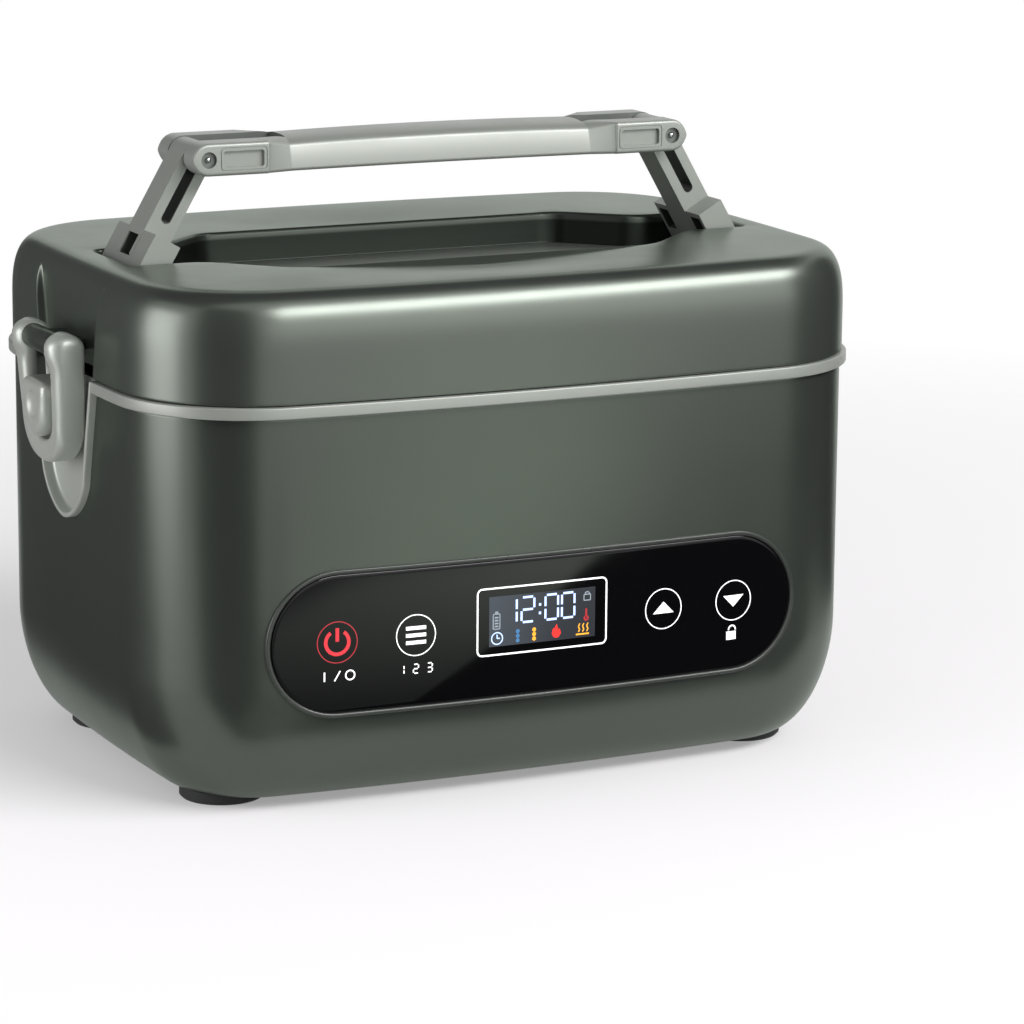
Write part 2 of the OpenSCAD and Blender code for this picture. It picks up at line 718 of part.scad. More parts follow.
module lid_inner_panel() {
    wall_in = well_inset + well_wall + 1.1;
    floor_z = container_rim_z + 1.1;
    color("#c9ccc7") difference() {
        union() {
            ring(lid_inset + lid_wall + 1.4, wall_in + 1.5, panel_flange, panel_flange + panel_flange_t);
            difference() {
                slab(wall_in, floor_z, panel_flange + panel_flange_t);
                slab(wall_in + 1.5, floor_z + 1.5, panel_flange + panel_flange_t + 1);
            }
        }
        // room for the lid's side pockets
        both_sides() left_prism(body_w / 2 + 3, pocket_x - lid_wall - gap,
            pocket_outline(lid_wall + gap));
        for (p = lid_posts) translate([p.x, p.y, panel_flange - 1]) {
            cylinder(r = 1.3, h = 5, $fn = round_fn);
            cylinder(r = 2.7, h = 2, $fn = round_fn);
        }
    }
}

module lid_seal() {
    outer = 15;
    lip = well_inset + well_wall + gap;
    inner = well_inset + well_wall + 1.1;
    color("#e4e6e2") {
        ring(outer, inner, flange_top + gap, panel_flange);
        ring(lip, inner, flange_top - 3, flange_top + gap + 0.2);
    }
}

module lid_insulation() {
    color("#efe9d6") slab(well_inset + well_wall + 3.2, container_rim_z + 3,
        recess_floor - lid_wall - 0.5);
}

module lid_screws() {
    color(steel) for (p = lid_posts) translate([p.x, p.y, panel_flange]) {
        translate([0, 0, 0.1]) cylinder(r = 2.5, h = 0.9, $fn = round_fn);
        translate([0, 0, 0.5]) cylinder(r = 1.2, h = 11, $fn = round_fn);
    }
}

module latch_pin() {
    y_rod(-latch_x, latch_z, latch_pin_r, -bail_half_w + 1.8, bail_half_w - 1.8);
}
module latch_pin_left() {
    color(steel) latch_pin();
}
module latch_pin_right() {
    color(steel) mirror([1, 0, 0]) latch_pin();
}

module pivot_pin() {
    y_rod(-pivot_x, pivot_z, handle_pin_r, -well_half_w - lid_wall + 0.2,
        well_half_w + lid_wall - 0.2);
}
module pivot_pin_left() {
    color(steel) pivot_pin();
}
module pivot_pin_right() {
    color(steel) mirror([1, 0, 0]) pivot_pin();
}

// ---- latches ----
bail_corner_r = 9;
// rectangle of [y, z] points with its two lower corners rounded
function u_shape(half_w, low, high, r) = concat([[half_w, high], [-half_w, high]],
    arc_points([-half_w, high], [-half_w, low], [half_w, low], r),
    arc_points([-half_w, low], [half_w, low], [half_w, high], r));
module bail() {
    low = latch_z - bail_drop;
    inner_half_w = bail_half_w - bail_arm_w;
    difference() {
        union() {
            difference() {
                left_prism(bail_face_x, latch_x - bail_arm_t / 2,
                    u_shape(bail_half_w, low, latch_z, bail_corner_r));
                left_prism(bail_face_x + 1, latch_x - bail_arm_t,
                    u_shape(inner_half_w, bar_top, latch_z + through, 2.5));
            }
            for (side = [-bail_half_w, inner_half_w])
                y_rod(-latch_x, latch_z, bail_arm_t / 2, side, side + bail_arm_w);
        }
        // the bottom bar is thinner than the arms, so that it clears the boss
        translate([-bail_face_x + bail_bar_t, -inner_half_w, low - 1])
            cube([bail_arm_t, 2 * inner_half_w, bail_bar_h + 3]);
        y_rod(-latch_x, latch_z, latch_pin_r + pin_play, -bail_half_w + 1.5, bail_half_w - 1.5);
    }
}
module latch_left() {
    color(trim_grey) bail();
}
module latch_right() {
    color(trim_grey) mirror([1, 0, 0]) bail();
}

// ---- handle ----
strut_reach = strut_run / cos(strut_angle);
grip_pin_x = pivot_x - strut_run;
grip_pin_z = pivot_z + strut_run * tan(strut_angle);
shank_half_w = clevis_gap / 2 - gap - 0.1;
foot_top = 12.8;
foot_t = 9;

module grip_outline() {
    // X and Z outline of the grip, with a slightly crowned middle
    block_x = grip_pin_x - 19.4;
    crown = 1.2;
    belly = 1.5;
    low = grip_pin_z - grip_h / 2;
    high = grip_pin_z + grip_h / 2;
    steps = 8;
    union() {
        polygon(concat(
            [for (i = [-steps:steps]) [block_x * i / steps, low + belly * (1 - pow(i / steps, 2))]],
            [for (i = [steps:-1:-steps]) [block_x * i / steps, high + crown * (1 - pow(i / steps, 2))]]));
        for (side = [-1, 1]) {
            translate([side * grip_pin_x, grip_pin_z]) circle(r = grip_h / 2, $fn = round_fn);
            translate([side > 0 ? block_x - 0.5 : -grip_pin_x, low])
                square([grip_pin_x - block_x + 0.5, grip_h]);
        }
    }
}

slot_end_x = pivot_x - strut_reach - strut_t / 2 - 3.4;
head_r = 2.3;
head_seat = 1.2;
module handle_grip() {
    color(trim_grey) difference() {
        translate([0, grip_d / 2, 0]) rotate([90, 0, 0]) linear_extrude(grip_d) grip_outline();
        both_sides() {
            // gap between the ears
            translate([-pivot_x, -clevis_gap / 2, grip_pin_z - grip_h])
                cube([pivot_x - slot_end_x, clevis_gap, 2 * grip_h]);
            y_rod(-grip_pin_x, grip_pin_z, handle_pin_r, -grip_d, grip_d);
            for (side = [-1, 1]) {
                translate([0, side * (grip_d / 2 - head_seat / 2 + 0.5), 0])
                    y_rod(-grip_pin_x, grip_pin_z, head_r + 0.9, -head_seat / 2 - 0.5, head_seat / 2 + 0.5);
                // shallow panel beside the pin
                translate([4 - grip_pin_x, side * (grip_d / 2) - 1, grip_pin_z - 2.4])
                    cube([14.2, 2, 4.8]);
            }
        }
    }
}

module grip_pins() {
    inner = clevis_gap / 2 + 0.2;
    seat = grip_d / 2 - head_seat;
    color(steel) both_sides() for (side = [0, 180]) rotate([0, 0, 0]) {
        y_rod(-grip_pin_x, grip_pin_z, handle_pin_r, side == 0 ? inner : -seat - 0.3,
            side == 0 ? seat + 0.3 : -inner);
        y_rod(-grip_pin_x, grip_pin_z, head_r, side == 0 ? seat : -seat - 0.7,
            side == 0 ? seat + 0.7 : -seat);
    }
}

module strut() {
    slot_r = handle_pin_r + 0.15;
    translate([-pivot_x, 0, pivot_z]) rotate([0, 90 - strut_angle, 0]) difference() {
        union() {
            y_rod(0, 0, foot_t / 2, -strut_foot_w / 2, strut_foot_w / 2);
            translate([-foot_t / 2, -strut_foot_w / 2, 0]) cube([foot_t, strut_foot_w, foot_top]);
            translate([-strut_t / 2, -shank_half_w, foot_t / 2])
                cube([strut_t, 2 * shank_half_w, strut_reach - foot_t / 2]);
            y_rod(0, strut_reach, strut_t / 2, -shank_half_w, shank_half_w);
        }
        y_rod(0, 0, handle_pin_r + pin_play, -through, through);
        // slot that the grip's pins ride in
        translate([-slot_r, -through / 2, strut_run - 1]) cube([2 * slot_r, through, strut_reach - strut_run + 1]);
        y_rod(0, strut_run - 1, slot_r, -through, through);
        y_rod(0, strut_reach, slot_r, -through, through);
        // window in the outer face of the foot, and pockets in its inner face
        translate([-foot_t, -4, 4]) cube([foot_t - 1, 8, 7]);
        for (side = [-1, 1]) translate([0, side * (strut_foot_w / 4 + 3) - 3, 3.5]) cube([foot_t, 6, 7.5]);
    }
}
module handle_strut_left() {
    color(trim_grey) strut();
}
module handle_strut_right() {
    color(trim_grey) mirror([1, 0, 0]) strut();
}

outer_shell();
bottom_cover();
cover_screws();
rubber_feet();
rim_band();
heating_well();
heating_plate();
heater_element();
insulation_pad();
thermal_fuse();
temperature_sensor();
battery_holder();
battery_cells();
battery_tabs();
power_board();
dc_inlet();
inlet_contact();
control_board();
board_screws();
display_module();
touch_pads();
control_panel();
panel_bezel();
internal_wires();
food_container();
lid_shell();
lid_inner_panel();
lid_seal();
lid_insulation();
lid_screws();
latch_pin_left();
latch_pin_right();
pivot_pin_left();
pivot_pin_right();
latch_left();
latch_right();
handle_grip();
grip_pins();
handle_strut_left();
handle_strut_right();
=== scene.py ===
# %% [markdown]
# # An electric lunch box in Blender
# The object is a heated lunch box: a dark satin base with a glass touch panel, a lid held by two side
# latches, and a carry handle on two folding struts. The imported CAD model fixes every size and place, so this
# script dresses it: large moulded forms are remade as smooth meshes, small parts keep their CAD mesh and get
# softened edges, and every finish is a procedural material.

# %% Load the frame
import bpy, bmesh
from math import sin, cos, asin, acos, pi, radians, sqrt, atan2, hypot, copysign
from mathutils import Vector, Matrix
from mathutils.geometry import delaunay_2d_cdt


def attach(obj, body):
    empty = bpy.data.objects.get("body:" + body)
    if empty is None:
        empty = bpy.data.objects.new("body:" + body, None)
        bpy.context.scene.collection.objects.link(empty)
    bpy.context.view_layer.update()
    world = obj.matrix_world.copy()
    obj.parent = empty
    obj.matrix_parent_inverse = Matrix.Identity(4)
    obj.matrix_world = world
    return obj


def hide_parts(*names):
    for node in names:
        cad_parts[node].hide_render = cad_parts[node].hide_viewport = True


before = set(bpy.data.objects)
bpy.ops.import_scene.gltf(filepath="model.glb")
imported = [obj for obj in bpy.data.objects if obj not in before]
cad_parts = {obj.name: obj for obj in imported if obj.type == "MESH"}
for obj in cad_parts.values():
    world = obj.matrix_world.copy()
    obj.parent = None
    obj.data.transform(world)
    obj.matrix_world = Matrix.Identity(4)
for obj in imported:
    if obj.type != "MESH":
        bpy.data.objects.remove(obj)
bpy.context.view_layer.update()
scene = bpy.context.scene
MM = 0.001

# %% [markdown]
# ## Camera
# A long lens from a little above and to the left shows the front, the left side and the top at once. A
# constraint could aim the camera, but a position, a heading, a dip and a roll pin the view down exactly.
# Blender's camera looks along its own -Z, so the three directions of the view become the matrix's columns.

# %% Camera
CAMERA_AT = Vector((-0.54682, -1.19949, 0.35775))
HEADING, DIP, ROLL = radians(25.70), radians(12.31), radians(0.444)
LENS_MM, SENSOR_MM = 149.8, 36.0

ahead = Vector((sin(HEADING) * cos(DIP), cos(HEADING) * cos(DIP), -sin(DIP)))
level_right = Vector((cos(HEADING), -sin(HEADING), 0))
level_up = level_right.cross(ahead)
right = level_right * cos(ROLL) + level_up * sin(ROLL)
up = level_up * cos(ROLL) - level_right * sin(ROLL)
camera_data = bpy.data.cameras.new("camera")
camera_data.lens, camera_data.sensor_width = LENS_MM, SENSOR_MM
camera_data.clip_end = 20
camera = bpy.data.objects.new("camera", camera_data)
camera.matrix_world = Matrix.Translation(CAMERA_AT) @ Matrix((right, up, -ahead)).transposed().to_4x4()
scene.collection.objects.link(camera)
scene.camera = camera
scene.view_settings.view_transform = "Standard"
print("camera at", tuple(round(c, 3) for c in camera.location))

# %% [markdown]
# ## Outline of the box
# Seen from above the box is a rectangle with bowed sides and round corners. A scaled rectangle would change
# its corners when it is drawn in. Here every arc keeps its own centre, so an inset outline is exactly parallel
# to the outer one, and walls keep their thickness.

# %% Outline helpers
BODY_W, BODY_D, CORNER_R, FRONT_BOW, SIDE_BOW = 238.0, 174.5, 41.0, 1056.0, 1250.0
bow_y, bow_x = BODY_D / 2 - FRONT_BOW, BODY_W / 2 - SIDE_BOW
bow_gap, long_r, short_r = hypot(bow_x, bow_y), FRONT_BOW - CORNER_R, SIDE_BOW - CORNER_R
along = (long_r ** 2 - short_r ** 2 + bow_gap ** 2) / (2 * bow_gap)
across = sqrt(long_r ** 2 - along ** 2)
corner_x = bow_x * along / bow_gap - bow_y * across / bow_gap
corner_y = bow_y - bow_y * along / bow_gap - bow_x * across / bow_gap
side_angle = atan2(corner_y, corner_x - bow_x)
long_angle = atan2(corner_y - bow_y, corner_x)


def steps(first, last, n):
    return [first + (last - first) * i / n for i in range(n + 1)]


def plan_columns(side_ys, corner_n=28, front_n=30):
    """Columns around the outline, as (centre x, centre y, radius, angle)."""
    half = [(corner_x, corner_y, CORNER_R, a) for a in steps(side_angle, long_angle, corner_n)]
    half += [(0, bow_y, FRONT_BOW, a) for a in steps(long_angle, pi - long_angle, front_n)[1:-1]]
    half += [(-corner_x, corner_y, CORNER_R, a) for a in steps(pi - long_angle, pi - side_angle, corner_n)]
    half += [(-bow_x, 0, SIDE_BOW, pi - asin(y / SIDE_BOW)) for y in sorted(side_ys, reverse=True)]
    return half + [(-x, -y, r, a + pi) for x, y, r, a in half]


def plan_loop(columns, inset, z):
    return [Vector((x + (r - inset) * cos(a), y + (r - inset) * sin(a), z)) for x, y, r, a in columns]


def front_y(x, inset=0.0):
    return -bow_y - sqrt((FRONT_BOW - inset) ** 2 - x * x)


print("corner centre %.2f, %.2f" % (corner_x, corner_y))


# %% [markdown]
# ## Mesh helpers
# Most forms here are stacks of loops: neighbouring loops are joined by quads, and a flat end is filled with
# triangles. Cutting rounded mouldings with booleans is quicker to write, but leaves long thin faces that
# shade badly. Loops keep the faces even, so the highlights run smoothly.

# %% Mesh builder
class Builder:
    """Collects vertices in millimetres and faces, and turns them into one object."""

    def __init__(self):
        self.verts, self.faces = [], []

    def loop(self, points):
        start = len(self.verts)
        self.verts += [tuple(p) for p in points]
        return list(range(start, start + len(points)))

    def join(self, a, b, closed=True):
        n = len(a)
        for i in range(n if closed else n - 1):
            k = (i + 1) % n
            self.faces.append((a[i], a[k], b[k], b[i]))

    def stack(self, loops, closed=True):
        ids = [self.loop(points) for points in loops]
        for a, b in zip(ids, ids[1:]):
            self.join(a, b, closed)
        return ids

    def fill(self, outer, holes=(), flip=False, axes=(0, 1), extra=()):
        """Fills the flat area inside the loop outer and outside the loops holes, through extra points."""
        rings = [outer, *holes]
        ids = sum(rings, []) + self.loop(extra)
        flat = [Vector([self.verts[i][axis] for axis in axes]) for i in ids]
        edges, start = [], 0
        for ring in rings:
            n = len(ring)
            edges += [(start + i, start + (i + 1) % n) for i in range(n)]
            start += n
        points, _, faces, sources = delaunay_2d_cdt(flat, edges, [], 1, 1e-6)[:4]
        for face in faces:
            middle = sum((points[i] for i in face), Vector((0, 0))) / len(face)
            inside = [self.holds(ring, middle, axes) for ring in rings]
            # the triangulation may merge points, so each corner is looked up by its source
            corners = [ids[sources[i][0]] for i in face]
            if inside[0] and not any(inside[1:]) and len(set(corners)) == len(corners):
                self.faces.append(tuple(corners[::-1] if flip else corners))

    def cap(self, ids, axes):
        """Closes the first and the last loop of a stack."""
        for ring in (ids[0], ids[-1]):
            self.fill(ring, axes=axes)

    def holds(self, ring, point, axes):
        inside = False
        corners = [[self.verts[i][axis] for axis in axes] for i in ring]
        for (ax, ay), (bx, by) in zip(corners, corners[1:] + corners[:1]):
            if (ay > point.y) != (by > point.y) and point.x < (bx - ax) * (point.y - ay) / (by - ay) + ax:
                inside = not inside
        return inside

    def object(self, name, sharp_angle=35):
        mesh = bpy.data.meshes.new(name)
        mesh.from_pydata([tuple(c * MM for c in v) for v in self.verts], [], self.faces)
        bm = bmesh.new()
        bm.from_mesh(mesh)
        bmesh.ops.remove_doubles(bm, verts=bm.verts, dist=1e-6)
        bmesh.ops.dissolve_degenerate(bm, dist=1e-7, edges=bm.edges)
        bmesh.ops.recalc_face_normals(bm, faces=bm.faces)
        bm.to_mesh(mesh)
        bm.free()
        mesh.shade_smooth()
        mesh.set_sharp_from_angle(angle=radians(sharp_angle))
        obj = bpy.data.objects.new(name, mesh)
        scene.collection.objects.link(obj)
        return obj


print("mesh builder ready")


# %% Shapes
def superellipse(width, height, power, n):
    """Rounded edge from upright wall to flat: (distance drawn in, distance along the wall)."""
    return [(width * (1 - cos(t) ** (2 / power)), height * sin(t) ** (2 / power))
            for t in steps(0, pi / 2, n)]


def rounded_loop(corners, radii, grow=0.0, n=8):
    """Polygon with rounded corners, grown outwards by a parallel offset. Corners run counterclockwise."""
    points, m = [], len(corners)
    for i in range(m):
        before, here, after = (Vector(corners[j % m]) for j in (i - 1, i, i + 1))
        d0, d1 = (here - before).normalized(), (after - here).normalized()
        turn = d0.x * d1.y - d0.y * d1.x
        half = acos(max(-1, min(1, d0.dot(d1)))) / 2
        r = radii[i]
        n0, n1 = Vector((d0.y, -d0.x)), Vector((d1.y, -d1.x))
        side = 1 if turn > 0 else -1
        centre = here - (n0 + n1).normalized() * side * r / cos(half)
        a0 = atan2(n0.y * side, n0.x * side)
        sweep = 2 * half * side
        reach = max(r + grow * side, 0.01)
        points += [centre + reach * Vector((cos(a0 + sweep * j / n), sin(a0 + sweep * j / n)))
                   for j in range(n + 1)]
    return points


def rectangle(half_w, half_h, r, grow=0.0, n=8, middle=(0, 0)):
    """Rounded rectangle around a middle, grown outwards by a parallel offset."""
    x, y = middle
    corners = [(x + across * half_w, y + along * half_h)
               for across, along in ((1, -1), (1, 1), (-1, 1), (-1, -1))]
    return rounded_loop(corners, [r] * 4, grow, n)


def smoothstep(t):
    t = max(0.0, min(1.0, t))
    return t * t * (3 - 2 * t)


print("a tight corner as (in, up):", [tuple(round(v, 2) for v in pair) for pair in superellipse(2, 2, 2.5, 2)])


# %% Pieces
def sided(name, side):
    """The name with its side: 1 is right and -1 is left."""
    return name + ("_right" if side > 0 else "_left")


def piece(obj, body, slot, material, *nodes):
    """Puts a new piece on its body and gives it its finish."""
    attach(obj, body)
    if nodes:
        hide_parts(*nodes)
    obj.data.materials.clear()
    obj.data.materials.append(material)
    return obj


def refinish(material, *nodes):
    """Gives CAD nodes a finish."""
    for node in nodes:
        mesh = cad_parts[node].data
        mesh.materials.clear()
        mesh.materials.append(material)


def soften(obj, width_mm, segments, angle):
    """Rounds the hard edges of an object with a bevel."""
    bevel = obj.modifiers.new("soft_edges", "BEVEL")
    bevel.width, bevel.segments = width_mm * MM, segments
    bevel.limit_method, bevel.angle_limit = "ANGLE", radians(angle)
    return bevel


print("a piece of the right side is named like", sided("latch", 1))


# %% [markdown]
# ## Finishes
# Moulded plastic is never one flat colour. Its satin comes from a very fine surface grain, its roughness
# drifts a little over the surface, and handled parts are slightly shinier. Noise textures in object
# coordinates give all of this at real scale, because the model is in metres.

# %% Shader nodes
def srgb(r, g, b):
    """Linear colour of an 8-bit screen colour."""
    return tuple(((c / 255 + 0.055) / 1.055) ** 2.4 if c > 10 else c / 255 / 12.92 for c in (r, g, b))


def add_node(tree, kind, inputs=(), **settings):
    """Adds a shader node. Its inputs, by name or number, are values or the outputs that feed them."""
    node = tree.nodes.new("ShaderNode" + kind)
    for name, value in settings.items():
        setattr(node, name, value)
    for key, value in dict(inputs).items():
        if isinstance(value, bpy.types.NodeSocket):
            tree.links.new(value, node.inputs[key])
        else:
            node.inputs[key].default_value = value
    return node


def maths(tree, operation, *values, **settings):
    return add_node(tree, "Math", enumerate(values), operation=operation, **settings).outputs[0]


def place(tree):
    """Where a point lies on its piece, in metres."""
    return add_node(tree, "TexCoord").outputs["Object"]


def measured(tree, point, direction):
    """How far a point lies along a direction."""
    return add_node(tree, "VectorMath", {0: point, 1: direction}, operation="DOT_PRODUCT").outputs["Value"]


def noise(tree, scale, detail=3.0, stretch=(1, 1, 1)):
    mapping = add_node(tree, "Mapping", {"Vector": place(tree), "Scale": stretch})
    return add_node(tree, "TexNoise", {"Vector": mapping.outputs["Vector"], "Scale": scale,
                                       "Detail": detail}).outputs["Fac"]


def mapped(tree, value, low, high, from_low=0.3, from_high=0.7):
    return add_node(tree, "MapRange", {"Value": value, "From Min": from_low, "From Max": from_high,
                                       "To Min": low, "To Max": high}).outputs["Result"]


def tint(tree, value, dark, light):
    ramp = add_node(tree, "ValToRGB", {"Fac": value})
    for element, position, colour in zip(ramp.color_ramp.elements, (0.3, 0.7), (dark, light)):
        element.position, element.color = position, (*colour, 1)
    return ramp.outputs["Color"]


def bump(tree, height, strength, distance_mm):
    return add_node(tree, "Bump", {"Height": height, "Strength": strength,
                                   "Distance": distance_mm * MM}).outputs["Normal"]


print("mid grey as linear colour:", [round(c, 3) for c in srgb(128, 128, 128)])


# %% Material helpers
def new_material(name, colour, roughness, metallic=0.0, specular=0.5):
    """A material with plain values on its shader. Returns it with its node tree."""
    material = bpy.data.materials.new(name)
    material.use_nodes = True
    shader = material.node_tree.nodes["Principled BSDF"]
    for socket, value in (("Base Color", (*colour, 1)), ("Roughness", roughness), ("Metallic", metallic),
                          ("Specular IOR Level", specular)):
        shader.inputs[socket].default_value = value
    return material, material.node_tree


def feed(tree, socket, output):
    """Lets an output drive a socket of the material's shader."""
    tree.links.new(output, tree.nodes["Principled BSDF"].inputs[socket])


def darkened(material, share, dark):
    """Paints shade into a finish: blends a dark colour in by a share from 0 to 1."""
    tree = material.node_tree
    colour = tree.nodes["Principled BSDF"].inputs["Base Color"].links[0].from_socket
    dim = add_node(tree, "Mix", {"Factor": share, "A": colour, "B": (*dark, 1)}, data_type="RGBA")
    feed(tree, "Base Color", dim.outputs["Result"])
    return material


print("material helpers ready")


# %% Moulded plastic and satin paint
def moulded(name, colour, roughness, spread=0.06, drift=0.04, grain=2600, depth=0.012, metallic=0.0):
    """Moulded plastic: colour and roughness drift slowly, and a fine grain makes the satin."""
    material, tree = new_material(name, colour, roughness, metallic)
    dark, light = (tuple(c * k for c in colour) for k in (1 - spread, 1 + spread))
    feed(tree, "Base Color", tint(tree, noise(tree, 14, 2), dark, light))
    feed(tree, "Roughness", mapped(tree, noise(tree, 60, 4), roughness - drift, roughness + drift))
    feed(tree, "Normal", bump(tree, noise(tree, grain, 2), 0.12, depth))
    return material


def satin(name, colour):
    """The metallic satin paint of base and lid. Its sheen stays a little green at a flat angle."""
    material = moulded(name, colour, 0.3, spread=0.03, drift=0.015, grain=1500, depth=0.003, metallic=0.78)
    material.node_tree.nodes["Principled BSDF"].inputs["Specular Tint"].default_value = (0.79, 0.85, 0.79, 1)
    return material


shell_satin = satin("shell_satin", srgb(83, 89, 82))
# painted light: the recess floor's matt finish is lighter than the lid's, for the light that the floor catches
recess_matt_painted_light = moulded("recess_matt_painted_light", srgb(104, 110, 102), 0.5, spread=0.03, depth=0.006, metallic=0.3)
trim_satin = moulded("trim_satin", srgb(142, 147, 140), 0.42, spread=0.03, depth=0.004, metallic=0.35)
# painted light: the trim plastic in a lighter colour for the latches, shields and bosses on the short sides,
# which get less light
trim_painted_light = moulded("trim_painted_light", srgb(166, 172, 164), 0.38, spread=0.02, depth=0.004, metallic=0.35)
print("finishes:", shell_satin.name, trim_satin.name)

# %% [markdown]
# ## Base shell
# The base is a deep tray with upright bowed walls and a generous rounded bottom edge. One profile is swept
# around the outline: across the bottom, up the outside, over the lip and down the inside. The seats behind
# the two latch shields are pushed in, because the shields are hollow there.

# %% Base shell
FOOT_H, SHELL_TOP, BAND_TOP, WALL, EDGE_W, EDGE_H, EDGE_POWER = 3.0, 121.4, 125.0, 2.6, 20, 37.5, 1.9
COVER_HALF_W, COVER_HALF_D, COVER_R, COVER_DEEP = 76.1, 42.1, 8, 2.45
SHIELD_HALF_W, SHIELD_H, SHIELD_ROUND_W, SHIELD_ROUND_Z = 26.0, 46.0, 19.0, 16.0
SHIELD_FACE_X, SHIELD_FLOOR_X, SHIELD_BACK_X = 121.2, 117.8, 116.6
SEAT_Z = 78.0


def shield_path(inset):
    """Half outline of a latch shield as (y, z), from the top corner to the tip."""
    w, h = SHIELD_ROUND_W - inset, SHIELD_ROUND_Z - inset
    turn_z = BAND_TOP - SHIELD_H + SHIELD_ROUND_Z
    curve = [(w * cos(t) ** (2 / 1.7), turn_z - h * sin(t) ** (2 / 1.7)) for t in steps(0, pi / 2, 14)]
    y, z = curve[0]
    upper = [(SHIELD_HALF_W - inset + (y - SHIELD_HALF_W + inset) * k, BAND_TOP + (z - BAND_TOP) * k)
             for k in steps(0, 1, 6)]
    return upper[:-1] + curve


def shield_half_width(z, inset):
    """Half width of the shield at a height, or 0 below its tip."""
    path = shield_path(inset)
    for (y0, z0), (y1, z1) in zip(path, path[1:]):
        if z0 >= z >= z1 and z0 > z1:
            return y0 + (y1 - y0) * (z0 - z) / (z0 - z1)
    return SHIELD_HALF_W - inset if z > path[0][1] else 0.0


def base_shell():
    columns = plan_columns([-40, -36, -32] + steps(-28, 28, 112) + [32, 36, 40])
    edge = [(e, FOOT_H + EDGE_H - h) for e, h in superellipse(EDGE_W, EDGE_H, EDGE_POWER, 24)][::-1]
    inner = [(WALL + e, FOOT_H + EDGE_H - h) for e, h in superellipse(19, 32.1, EDGE_POWER, 10)]
    wall = [(0, z) for z in steps(FOOT_H + EDGE_H, SEAT_Z, 8)[1:] + steps(SEAT_Z + 0.5, 121, 85)]
    lip = [(0.15, 121.3), (0.4, SHELL_TOP), (WALL - 0.3, SHELL_TOP), (WALL, 121.1), (WALL, 100)]
    b = Builder()
    loops = []
    for e, z in edge + wall + lip + inner:
        loop = plan_loop(columns, e, z)
        if e < WALL - 0.5 and z > SEAT_Z:
            seat = shield_half_width(z, 0.8)
            for p in loop:
                if abs(p.y) < seat and abs(p.x) > 100:
                    p.x = copysign(SHIELD_BACK_X + 0.05 * (3 - e), p.x)
        loops.append(loop)
    ids = b.stack(loops)
    b.fill(ids[-1])
    # rebate and ledge of the battery cover
    low, high = (b.loop([(p.x, p.y, z) for p in rectangle(COVER_HALF_W, COVER_HALF_D, COVER_R)])
                 for z in (FOOT_H, FOOT_H + COVER_DEEP))
    b.join(low, high)
    b.fill(high, flip=True)
    b.fill(ids[0], [low], flip=True)
    return b.object("base_shell")


base = piece(base_shell(), "base", "shell_green", shell_satin, "outer_shell")
refinish(shell_satin, "bottom_cover")
print("base shell:", len(base.data.polygons), "faces")

# %% [markdown]
# ## Lid
# The lid's edge is a tight superellipse that rolls into a flat top. A shallow pocket on each short side makes
# room for the latch, and its flanks lean outwards. Moving the swept surface inwards, with columns that follow
# the flanks, gives soft shoulders. The recess under the handle is a fillet, a wall and a floor swept around
# its own outline.

# %% Lid shell
LID_BOTTOM, LID_H, LID_INSET, LID_EDGE_W, LID_EDGE_H = 125.3, 32.4, -0.6, 10.7, 19.9
LID_TOP = LID_BOTTOM + LID_H
RECESS_FLOOR, RIM_DIP, RECESS_LIP = LID_TOP - 10.4, 2.2, 1.2
RECESS_CORNERS, RECESS_RADII = [(61, 37), (82, 17), (104.5, 17)], [14, 14, 3]
POCKET_X, POCKET_LOW_W, POCKET_HIGH_W = 116.9, 22.5, 28.0


def recess_loop(grow, z):
    right_side = [(x, -y) for x, y in RECESS_CORNERS] + RECESS_CORNERS[::-1]
    corners = right_side + [(-x, -y) for x, y in right_side]
    radii = RECESS_RADII + RECESS_RADII[::-1]
    return [Vector((p.x, p.y, z)) for p in rounded_loop(corners, radii + radii, grow, 14)]


def rim_dip(x, y, z):
    """The plateau sinks a little towards the middle of the hand recess."""
    depth = (z - RECESS_FLOOR) / (LID_TOP - RECESS_FLOOR)
    return RIM_DIP * smoothstep((76 - abs(x)) / 76) * smoothstep((76 - abs(y)) / 36) * max(0.0, depth)


def press_pocket(loop, z):
    """Slides a loop's columns along the flanks of the pockets and pushes the pockets in."""
    wide = POCKET_LOW_W + (z - LID_BOTTOM) * (POCKET_HIGH_W - POCKET_LOW_W) / 30.1
    for p in loop:
        if abs(p.x) < 100:
            continue
        y = abs(p.y)
        moved = y + (wide - POCKET_LOW_W) * (smoothstep(y / 12) if y < 26 else smoothstep((41 - y) / 15))
        if p.y:
            p.y = copysign(moved, p.y)
        reach = abs(p.x) - (moved ** 2 - y ** 2) / (2 * SIDE_BOW)
        # the pocket's floor meets the rolled edge in a soft crease
        over = max(0.0, reach - POCKET_X) * smoothstep((wide + 0.7 - moved) / 1.4)
        p.x = copysign(reach - over, p.x)
    return loop


